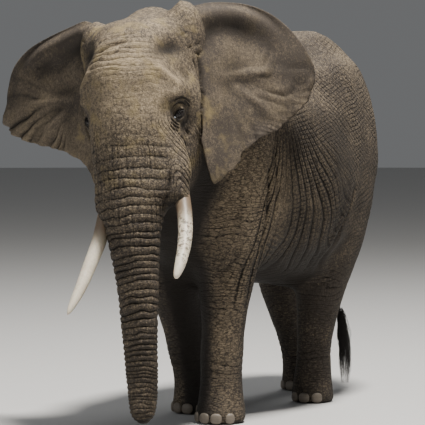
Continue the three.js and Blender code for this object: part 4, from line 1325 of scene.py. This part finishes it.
def eye_paint(points):
    """Round each eye: where the lids lie; how wet and dark, that is the wet skin's own darkness and
    painted shade in the hollows round it; their lines, painted as shade in the folds; and a painted
    highlight on the upper lid.
    """
    lids, wet, lines, plate = np.zeros((4, len(points)))
    near = np.flatnonzero(from_eyes(points) < 0.3)
    for side in EYES:
        out, back, up = eye_chart(points[near], side)
        span = np.hypot(back, up)
        here = (out > -0.06) * smooth(0.27, 0.19, span)
        along, across = tilted(back, up)
        tall = 0.038 - 0.162 * np.abs(along)
        # The dark almond round the opening: the wet skin's own darkness, with painted shade.
        corner = smooth(1.0, 0.72, np.hypot(along / 0.080, across / tall))
        # Painted shade in the hollows before, below and behind the eye.
        hollow = sum(
            dark * hill(back, x, wide) * hill(up, y, high)
            for dark, x, wide, y, high in (
                (0.55, -0.100, 0.030, 0.020, 0.070),
                (0.40, 0.060, 0.050, -0.085, 0.050),
                (0.35, 0.150, 0.080, -0.060, 0.090),
            )
        )
        # Darker along the lower lid, and painted shade all round the socket.
        under = 0.65 * hill(across, -0.030, 0.012) * smooth(0.070, 0.050, np.abs(along))
        round_eye = 0.50 * smooth(0.180, 0.075, np.hypot(back - 0.01, up + 0.01))
        deep = lid_fold_lines(back, up)[0]
        unlined = 1 - smooth(0.003, 0.006, deep)
        # The fold lines become painted shade; the plate is a painted highlight on the upper lid.
        for field, value in (
            (lids, smooth(0.120, 0.060, span)),
            (wet, np.maximum(corner, np.maximum(hollow, under) + round_eye)),
            (lines, np.clip(deep / 0.0095, 0, 0.85)),
            (plate, unlined * hill(back, 0.016, 0.042) * hill(up, 0.060, 0.014)),
        ):
            field[near] = np.maximum(field[near], value * here)
    return lids, wet, lines, plate


def paint(skin):
    """Stores on the skin how pale each place is, dusted and with painted highlights; how much
    painted shade darkens it, under the body, in hollows, folds and gaps and round the eyes; and the
    counts of its lines.
    """
    mesh = skin.data
    points, normals, edges = points_of(mesh), normals_of(mesh), edges_of(mesh)
    place = Place(points, normals)
    # Painted shade in hollows: how far the smoothed skin lies outside each point, close by and
    # wider.
    fine, wide = (
        np.sum((relaxed(points, edges, rounds) - points) * normals, axis=1) for rounds in (3, 14)
    )
    hollow_shade = np.clip(0.6 * fine / 0.0040 + 0.5 * wide / 0.014, 0, 0.88)
    ear = np.clip(field_of(mesh, "ear"), 0, 1)
    flesh = 1 - ear
    lids, wet, lines, plate = eye_paint(points)
    # No painted shade on the painted highlight of the upper lid.
    wet = wet * (1 - 0.9 * plate)
    face = flesh * (1 - lids)
    # The painted shadow under each ear's rolled top, the painted shade in its folds, and its rim.
    sheet, valley, rim = ear_paint(place)
    brow = place.head * smooth(-0.35, 0.35, place.u) * smooth(0.0, 0.2, place.f)
    thigh = smooth(1.15, 1.5, place.y) * smooth(0.7, 0.9, place.z) * smooth(2.1, 1.5, place.z)
    thigh = thigh * place.body
    legs = np.maximum(place.leg, smooth(0.25, 0.0, place.y) * place.body) - thigh
    legs = np.maximum(np.clip(legs, 0, 1), brow * smooth(0.15, 0.35, place.u))
    banded = smooth(2.1, 1.8, place.z) * smooth(0.30, 0.10, place.y) + place.leg
    banded = np.clip(banded, 0, 1) * place.body * uneven(points, 0.6, 0.8, 0.16, 52, 0, 1)
    # The shade field: painted shade, and round the eyes their wet dark skin.
    dim = np.clip(shades(place, ear, wet, np.maximum(0.55 * sheet, 0.8 * valley)), 0, 1)
    # Painted shade also along the lids' fold lines, where the skin round the eyes is darkest, and
    # as a shadow in the gap before each ear.
    gap = ear_gap(place, ear, edges)
    hollow_shade = np.maximum.reduce([hollow_shade, lines, 0.75 * smooth(0.7, 1.0, wet), 0.95 * gap])

    for name, (count, depth, *_), full, where in (
        ("furrow", furrows(place), 0.010, face),
        ("upright", uprights(place), 0.0045, face),
        ("fan", flank_folds(place), 0.012, flesh),
        ("net", flank_net(place), CROSS_DEPTH, flesh),
        ("haunch", haunch_lines(place), CROSS_DEPTH, flesh),
        ("band", (leg_count(place), banded), 1, flesh),
    ):
        add_field(mesh, name, count)
        add_field(mesh, f"{name}_deep", np.clip(depth / full, 0, 1) * where)
    # The shade field is painted shade; the hollows' field, painted shade too, deepens where that
    # shade is darkest.
    for name, value in (
        ("legs", legs * flesh),
        ("thigh", thigh * flesh),
        ("plain", 0.5 * place.head * smooth(-0.2, 0.1, place.u) + 0.5 * lids),
        ("dust_and_highlight", dusted(place, ear, brow, plate, sheet, rim)),
        ("ochre", place.head * smooth(-0.8, -0.2, place.u) * 0.6 + 0.10 * ear),
        ("shade", dim),
        ("hollow_shade", np.maximum(hollow_shade, 0.7 * smooth(0.75, 1.0, dim))),
    ):
        add_field(mesh, name, np.clip(value, 0, 1))


def dusted(place, ear, brow, plate, sheet, rim):
    """How pale each place is, dusted with dry earth and painted with light: paler on what faces up,
    on the brow, the temple's ridge and the shoulder blade; a painted highlight on the upper lids
    and on each foreleg's front and outside; darker towards the ground, with painted shade on the
    left ear and under the ears' rolled tops.
    """
    ridge = along_lines(place.on_head, HEAD_LINES[:1]) / HEAD_LINES[0][2]
    middle = 0.20 * hill(place.l, 0.0, 0.17) * hill(place.u, 0.43, 0.09)
    dip = 0.16 * hill(place.l, 0.11, 0.12) * hill(place.u, 0.25, 0.09)
    crown = 0.16 * smooth(0.46, 0.60, place.u)
    # Painted highlight on each foreleg's front and outside.
    foreleg_highlight = np.sign(place.x) * place.normals[:, 0] * 0.75 - place.normals[:, 1] * 0.66
    foreleg_highlight = smooth(0.35, 1.0, foreleg_highlight) * place.fore * smooth(2.3, 1.9, place.z)
    blade = hill(place.y, 0, 0.3) * hill(place.side, 0.6, 0.2)
    return (
        0.22
        + 0.22 * np.clip(place.rise, -0.5, 1)
        + 0.16 * noise(place.points, 0.45, 51)
        + 0.32 * brow
        # painted highlight on the upper lid
        + 0.50 * plate
        + place.head * (0.45 * ridge + middle - dip - crown)
        + place.body * (0.42 * foreleg_highlight + 0.12 * blade - 0.16 * (1 - ear))
        + 0.02 * place.trunk
        - 0.14 * smooth(1.4, 0.5, place.z)
        # the ears: paler where dusted at the rim, painted shadow under the rolled top, painted
        # shade over the left ear
        + ear * (0.16 * rim - 0.15 * sheet - 0.25 * (place.l > 0))
    )


def shades(place, ear, wet, ears):
    """How much each place is darkened: painted shade under the body and head, between the legs, on
    what faces down, in the temple's hollow and in the ears' shadows and folds; round the eyes wet
    dark skin and painted shade; darker towards the ground and a little over the trunk.
    """
    x, y, z, rise = place.side, place.y, place.z, place.rise
    # Painted shadow of the head on the chest between the forelegs.
    edge = np.clip(0.24 + 0.42 * (z - 1.4), 0.22, 0.44)
    chest = smooth(0.25, -0.05, y) * smooth(0.09, -0.05, x - edge) * smooth(0.45, 0.0, rise)
    # Painted shade on the body: the chest, between the legs, on the flank and belly, and a little
    # on the hind legs.
    on_body = (
        chest * smooth(1.15, 1.40, z) * smooth(2.60, 2.20, z),
        0.95 * smooth(0.30, 0.20, x) * smooth(2.0, 1.8, z) * (0.5 + 0.5 * place.fore),  # inner legs
        0.55 * smooth(0.22, 0.40, y) * smooth(1.6, 1.3, y) * smooth(2.55, 2.2, z),  # flank
        0.95 * smooth(0.30, 0.45, y) * smooth(1.8, 1.15, z) * smooth(1.5, 1.2, y),  # belly
        0.20 * smooth(1.2, 1.6, y) * smooth(2.3, 1.6, z),  # hind legs
    )
    # Darker towards the ground; painted shade on what faces down and in the temple's hollow.
    low = 0.22 * smooth(0.9, 0.3, z)
    under = 0.95 * smooth(-0.1, -0.8, rise) * (1 - ear)
    temple = 0.95 * hill(np.abs(place.l), 0.30, 0.095) * hill(place.u, 0.48, 0.060) * place.head
    parts = [part * place.body * (1 - ear) for part in on_body]
    # Round the eyes wet dark skin and painted shade; in the ears painted shadow and shade; a little
    # darker over the trunk.
    return np.maximum.reduce([*parts, under, low, temple, wet, ears * ear, 0.12 * place.trunk])


def ear_paint(place):
    """On the ears: a painted shadow under the rolled top and painted shade over the upper far part
    of the sheet; painted shade in the valleys of folds; and the rim paler where dusted below, with
    painted shade along the rolled band.
    """
    roll_shadow, valley, rim = np.zeros((3, len(place.l)))
    for name, ear in EAR.items():
        here = np.flatnonzero(ear["side"] * place.l > 0.4)
        reach, up = (v[here] for v in on_ear(name, place))
        gap = rim_gap(name, reach, up)
        fan, turns = ear_fan(name, reach, up, ear_wander(name, reach, up))
        # Painted shadow under the roll, and painted shade over the upper far part of the ear.
        roll_shadow[here] = np.maximum(
            hill(gap, 0.190, 0.075) * smooth(0.90, 0.30, reach) * smooth(0.25, 0.45, up),
            0.6 * hill(up, 0.34, 0.10) * smooth(0.55, 0.90, reach),
        )
        # Painted shade in the valleys between the folds.
        valley[here] = fan * (1 - np.abs(np.sin(math.pi * turns))) ** 2 * min(1, ear["folded"])
        # The lower rim paler where dusted; painted shade along the rolled band at the top.
        rim[here] = smooth(0.45, 0.85, reach) * hill(up, 0.02, 0.16)
        rim[here] -= 0.8 * hill(gap, 0, 0.10) * smooth(0.3, 0.5, up)
    return roll_shadow, valley, rim


class ELEPHANT_OT_eyes(bpy.types.Operator):
    """Builds the two wet eyes"""

    bl_idname = "elephant.eyes"
    bl_label = "Eyes"

    def execute(self, context):
        material = eye_material()
        for side in EYES:
            # Each eye with a pale bead painted as a glint in its front corner.
            eye = joined([make_eyeball(side), make_tear(side)])
            finished(eye, material, "eye", f"eye_{side}")
        return {"FINISHED"}


def make_eyeball(side):
    """A ball with the clear front bulging a little, and its pupil and rim marked."""
    centre, look = eye_place(side)[:2]
    eye = ball(48, 32, EYEBALL, centre)
    eye.name = f"wet_eye_{side}"
    away = points_of(eye.data) - centre
    angle = np.arccos(np.clip(away @ look / EYEBALL, -1, 1))
    bulge = 0.0022 * smooth(0.55, 0.1, angle)
    put_points(eye.data, centre + away * (1 + bulge / EYEBALL)[:, None])
    add_field(eye.data, "pupil", smooth(0.24, 0.18, angle))
    add_field(eye.data, "rim", smooth(0.55, 0.62, angle))
    add_field(eye.data, "tear", np.zeros(len(angle)))
    return eye


def make_tear(side):
    """A pale bead in the front corner of an eye, painted as a glint."""
    centre, look, back, up = eye_place(side)
    along = tilted(back, up)[0]
    corner = centre + 0.80 * (EYEBALL * look - EYE_LONG * along) - up * 0.002
    tear = ball(16, 10, 0.0080, corner)
    for name, value in (("pupil", 0), ("rim", 0), ("tear", 1)):
        add_field(tear.data, name, np.full(len(tear.data.vertices), value))
    return tear


class ELEPHANT_OT_tusks(bpy.types.Operator):
    """Builds the two tusks"""

    bl_idname = "elephant.tusks"
    bl_label = "Tusks"

    def execute(self, context):
        material = ivory_material(context.scene.elephant_tusks)
        for name in TUSKS:
            finished(make_tusk(name), material, "ivory", f"tusk_{name}")
        return {"FINISHED"}


def make_tusk(name):
    """A tapering tube, closer ringed towards its rounded tip, with an uneven surface."""
    tip = 1 - 0.06 * (1 - np.linspace(0.05, 1, 12)) ** 2
    shares = np.concatenate([np.linspace(0, 0.94, 70), tip])
    centres, radii = tusk_run(name, shares)
    round_end = np.sqrt(np.clip(1 - np.clip((shares - 0.985) / 0.0155, 0, 1) ** 2, 0.001, 1))
    tusk = tube(centres, radii * round_end, HEAD_LEFT, TUSK_SIDES, f"ivory_{name}")
    points = points_of(tusk.data)
    uneven_by = 0.0012 * noise(points * (1, 1, 0.4), 0.05, 61)
    put_points(tusk.data, points + normals_of(tusk.data) * uneven_by[:, None])
    along = np.concatenate([np.repeat(shares, TUSK_SIDES), [0, 1]])
    mouth = TUSK_MOUTH[name]
    add_field(tusk.data, "run", along)
    add_field(tusk.data, "worn", np.full(len(along), TUSK_WORN[name]))
    add_field(tusk.data, "root", smooth(mouth + 0.24, mouth + 0.04, along))
    return tusk


# Half of a toenail's width, in the middle of a foot and beside it, of its thickness and its height.
NAIL_WIDE, NAIL_NARROW, NAIL_THICK, NAIL_TALL = 0.046, 0.040, 0.022, 0.042
NAIL_SUNK = 0.004


class ELEPHANT_OT_toenails(bpy.types.Operator):
    """Builds the toenails"""

    bl_idname = "elephant.toenails"
    bl_label = "Toenails"

    def execute(self, context):
        material = nail_material()
        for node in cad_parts:
            if node.startswith("toenail"):
                finished(make_nail(node), material, "nail", node)
        return {"FINISHED"}


def make_nail(node):
    """A horn plate: a flattened ball, squared off and bulged outwards from its foot."""
    centre = centre_of(node)
    _, limb, side, number = node.split("_")
    out = centre - centre_of(f"{limb}foot_{side}")
    out[2] = 0
    out /= np.linalg.norm(out)
    nail = ball(28, 18)
    squared = points_of(nail.data)
    squared = np.sign(squared) * np.abs(squared) ** 0.8
    half = NAIL_WIDE if number in "23" else NAIL_NARROW
    axes = np.array([np.cross(out, (0, 0, 1)) * half, out * NAIL_THICK, (0, 0, NAIL_TALL)])
    points = centre + squared @ axes - out * NAIL_SUNK
    points[:, 2] = np.maximum(points[:, 2] - NAIL_SUNK, 0.001)
    put_points(nail.data, points)
    nail.name = node.replace("toenail", "nail")
    return nail


class ELEPHANT_OT_hair(bpy.types.Operator):
    """Builds the tuft of the tail, the eyelashes and the bristles of the chin"""

    bl_idname = "elephant.hair"
    bl_label = "Hair"

    def execute(self, context):
        material = hair_material()
        for name, strands, *nodes in (
            ("tail_hair", tail_strands(), "tail_tuft"),
            ("eyelashes", lash_strands()),
            ("chin_bristles", chin_strands()),
        ):
            finished(make_hair(name, strands), material, "hair", *nodes)
        return {"FINISHED"}


HAIR_SIDES = 4
HAIR_TIP = 0.15  # how thick a strand's tip is, as a share of its root
HAIR_PATCH = 0.0015  # half the size of a strand's own patch on the unwrap
HAIR_ACROSS = (0.31, 0.95, 0.05)  # a direction that no strand runs along


def make_hair(name, strands):
    """Joins strands, each (points, radius at its root, place on the unwrap), as thin cones."""
    angle = np.linspace(0, 2 * math.pi, HAIR_SIDES, endpoint=False)
    patch = HAIR_PATCH * np.stack([np.cos(angle), np.sin(angle)], 1)
    points, faces, places = [], [], []
    for line, radius, place in strands:
        rows, root = len(line), len(points)
        points.extend(rings(line, radius * np.linspace(1, HAIR_TIP, rows), HAIR_ACROSS, HAIR_SIDES))
        faces += walls(rows, HAIR_SIDES, root)
        faces += [range(end, end + HAIR_SIDES) for end in (root, len(points) - HAIR_SIDES)]
        places.append(np.tile(place + patch, (rows, 1)))
    piece = piece_from(name, points, faces)
    layer = piece.data.uv_layers.new(name="OFBake")
    corner = np.empty(len(piece.data.loops), np.int32)
    piece.data.loops.foreach_get("vertex_index", corner)
    layer.data.foreach_set("uv", np.concatenate(places).astype(np.float32)[corner].ravel())
    outward(piece)
    return piece


TAIL_STRANDS, LASHES, BRISTLES = 520, 34, 60
TAIL_SEED, LASH_SEED, CHIN_SEED = 5, 6, 7


def steps(rows):
    """Shares of a strand's length from 0 to 1, as a column."""
    return np.linspace(0, 1, rows)[:, None]


def tail_strands():
    """Long wiry hair on the last third of the tail, hanging together."""
    random = np.random.RandomState(TAIL_SEED)
    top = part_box("tail_tuft")[1][2]
    middle = centre_of("tail_tuft")
    rows = steps(9)
    strands = []
    for _ in range(TAIL_STRANDS):
        share = random.uniform(0, 1) ** 1.3
        z = top + 0.05 - share * 0.22
        angle = random.uniform(0, 2 * math.pi)
        rim = np.array([math.cos(angle), math.sin(angle), 0])
        start = np.array([middle[0] - 0.012, middle[1] - 0.004, z]) + rim * 0.018
        drop = min(random.uniform(0.28, 0.60), z - 0.05)
        wide = random.uniform(0.3, 1.0) * 0.042
        bend = np.array([0.024, 0.012, 0]) * rows**2
        sway = rim * wide * np.sin(rows * 2.2) * (1 - 0.35 * rows)
        curl = 0.034 * np.sin(rows * 2.6) + 0.006 * np.sin(rows * 11 + angle)
        line = start + sway + bend + np.array([0.86, 0.50, 0]) * curl
        line = line - np.array([0, 0, 1]) * drop * rows
        line[1:-1] += random.normal(0, 0.0025, (len(rows) - 2, 3)) * (1, 1, 0)
        spot = (0.04 + 0.92 * angle / (2 * math.pi), 0.04 + 0.9 * share)
        strands.append((line, random.uniform(0.0012, 0.0022), spot))
    return strands


def lash_strands():
    """Lashes along each upper lid, pointing out and down."""
    random = np.random.RandomState(LASH_SEED)
    rows = steps(6)
    strands = []
    for number, side in enumerate(EYES):
        eye, look, back, up = eye_place(side)
        along, across = tilted(back, up)
        for k, place in enumerate(np.linspace(-0.85, 0.85, LASHES)):
            a = place * EYE_LONG + random.normal(0, 0.0008)
            b = EYE_TALL * (1 - (a / EYE_LONG) ** 2) + 0.001
            out = math.sqrt(max((EYEBALL + LID) ** 2 - a * a - b * b, 0.0004))
            root = eye + look * (out - 0.003) + along * a + across * b
            long = random.uniform(0.030, 0.048)
            way = look * 0.8 + across * 0.05 + along * random.normal(0, 0.12)
            line = root + way * long * rows - HEAD_UP * 0.022 * rows**2
            strands.append((line, 0.0006, (0.1 + 0.4 * number + 0.01 * k, 0.5)))
    return strands


def chin_strands():
    """Sparse bristles under the pointed lower lip."""
    random = np.random.RandomState(CHIN_SEED)
    rows = steps(6)
    strands = []
    for k in range(BRISTLES):
        left = random.normal(0, 0.022)
        forward = -0.040 + random.uniform(-0.05, 0.03)
        root = on_head(left, forward, -0.86 + random.uniform(0, 0.05))
        long = random.uniform(0.03, 0.08)
        lean = HEAD_FORWARD * random.uniform(-0.2, 0.6)
        line = root + (lean + HEAD_LEFT * random.normal(0, 0.3) - HEAD_UP) * long * rows
        strands.append((line, 0.0007, (0.1 + 0.012 * k, 0.2)))
    return strands


class ELEPHANT_OT_stage(bpy.types.Operator):
    """Sets the pale floor, the camera and the soft lights"""

    bl_idname = "elephant.stage"
    bl_label = "Stage"

    def execute(self, context):
        settings = context.scene.elephant_stage
        make_floor()
        make_camera(settings)
        make_lights(settings)
        return {"FINISHED"}


FLOOR_RADIUS = 70
SENSOR = 36  # millimetres
AIM_BACK = 0.28  # how far behind the shoulder line the camera aims
LIT = (0.6, 1.7)  # how far behind that line and how high the lamps aim


def make_floor():
    deselect()
    bpy.ops.mesh.primitive_circle_add(
        vertices=96, radius=FLOOR_RADIUS, fill_type="NGON", location=(SHOULDER[0], 1.0, 0)
    )
    floor = bpy.context.object
    bpy.ops.object.transform_apply(location=True, rotation=True, scale=True)
    floor.name = "floor"
    g = Graph("pale floor", roughness=0.9, base_color=(0.50, 0.495, 0.485, 1))
    floor.data.materials.append(g.material)


def make_camera(settings):
    data = bpy.data.cameras.new("camera")
    camera = bpy.data.objects.new("camera", data)
    bpy.context.collection.objects.link(camera)
    data.sensor_width = SENSOR
    data.lens = settings.lens
    data.clip_end = 200
    turn = settings.azimuth
    aim = Vector((SHOULDER[0], SHOULDER[1] + AIM_BACK, settings.height))
    camera.location = aim + Vector((math.sin(turn), -math.cos(turn), 0)) * settings.distance
    camera.rotation_euler = (math.pi / 2 - settings.pitch, 0, turn)
    bpy.context.scene.camera = camera


def make_lights(settings):
    turn = settings.azimuth
    right = Vector((math.cos(turn), math.sin(turn), 0))
    near = Vector((math.sin(turn), -math.cos(turn), 0))
    centre = Vector((SHOULDER[0], SHOULDER[1] + LIT[0], LIT[1]))
    lamps = (
        ("key", right * 2.2 + near * 3.4 + Vector((0, 0, 14)), 2.4, 6000, (1, 0.965, 0.91)),
        ("fill", right * -9.0 + near * 10.0 + Vector((0, 0, 4)), 8.0, 300, (0.92, 0.96, 1)),
        ("back", right * 4.0 + near * -10.0 + Vector((0, 0, 11)), 6.0, 600, (1, 1, 1)),
    )
    for name, offset, size, power, colour in lamps:
        data = bpy.data.lights.new(name, "AREA")
        data.shape, data.size, data.energy, data.color = "DISK", size, power, colour
        lamp = bpy.data.objects.new(name, data)
        lamp.location = centre + offset
        lamp.rotation_euler = (-offset).to_track_quat("-Z", "Y").to_euler()
        bpy.context.collection.objects.link(lamp)
    world = bpy.data.worlds.new("studio")
    bpy.context.scene.world = world
    world.use_nodes = True
    backdrop = world.node_tree.nodes["Background"]
    backdrop.inputs["Color"].default_value = (0.86, 0.88, 0.90, 1)
    backdrop.inputs["Strength"].default_value = 0.17


class ELEPHANT_PT_panel(bpy.types.Panel):
    """The elephant's pieces, in the order in which they are built"""

    bl_label = "Elephant"
    bl_idname = "ELEPHANT_PT_panel"
    bl_space_type = "VIEW_3D"
    bl_region_type = "UI"
    bl_category = "Elephant"

    def draw(self, context):
        for group in SETTINGS:
            settings = getattr(context.scene, group)
            box = self.layout.box()
            for name in settings.__annotations__:
                box.prop(settings, name)
        for operator in OPERATORS:
            self.layout.operator(operator.bl_idname)


SETTINGS = {
    "elephant_skin": SkinSettings,
    "elephant_tusks": TuskSettings,
    "elephant_stage": StageSettings,
}
OPERATORS = (
    ELEPHANT_OT_skin,
    ELEPHANT_OT_eyes,
    ELEPHANT_OT_tusks,
    ELEPHANT_OT_toenails,
    ELEPHANT_OT_hair,
    ELEPHANT_OT_stage,
)


def register():
    for kind in (*SETTINGS.values(), *OPERATORS, ELEPHANT_PT_panel):
        bpy.utils.register_class(kind)
    for name, kind in SETTINGS.items():
        setattr(bpy.types.Scene, name, PointerProperty(type=kind))


def unregister():
    for name in SETTINGS:
        delattr(bpy.types.Scene, name)
    for kind in reversed((*SETTINGS.values(), *OPERATORS, ELEPHANT_PT_panel)):
        bpy.utils.unregister_class(kind)


def main():
    register()
    for operator in OPERATORS:
        group, name = operator.bl_idname.split(".")
        getattr(getattr(bpy.ops, group), name)()


if __name__ == "__main__":
    main()
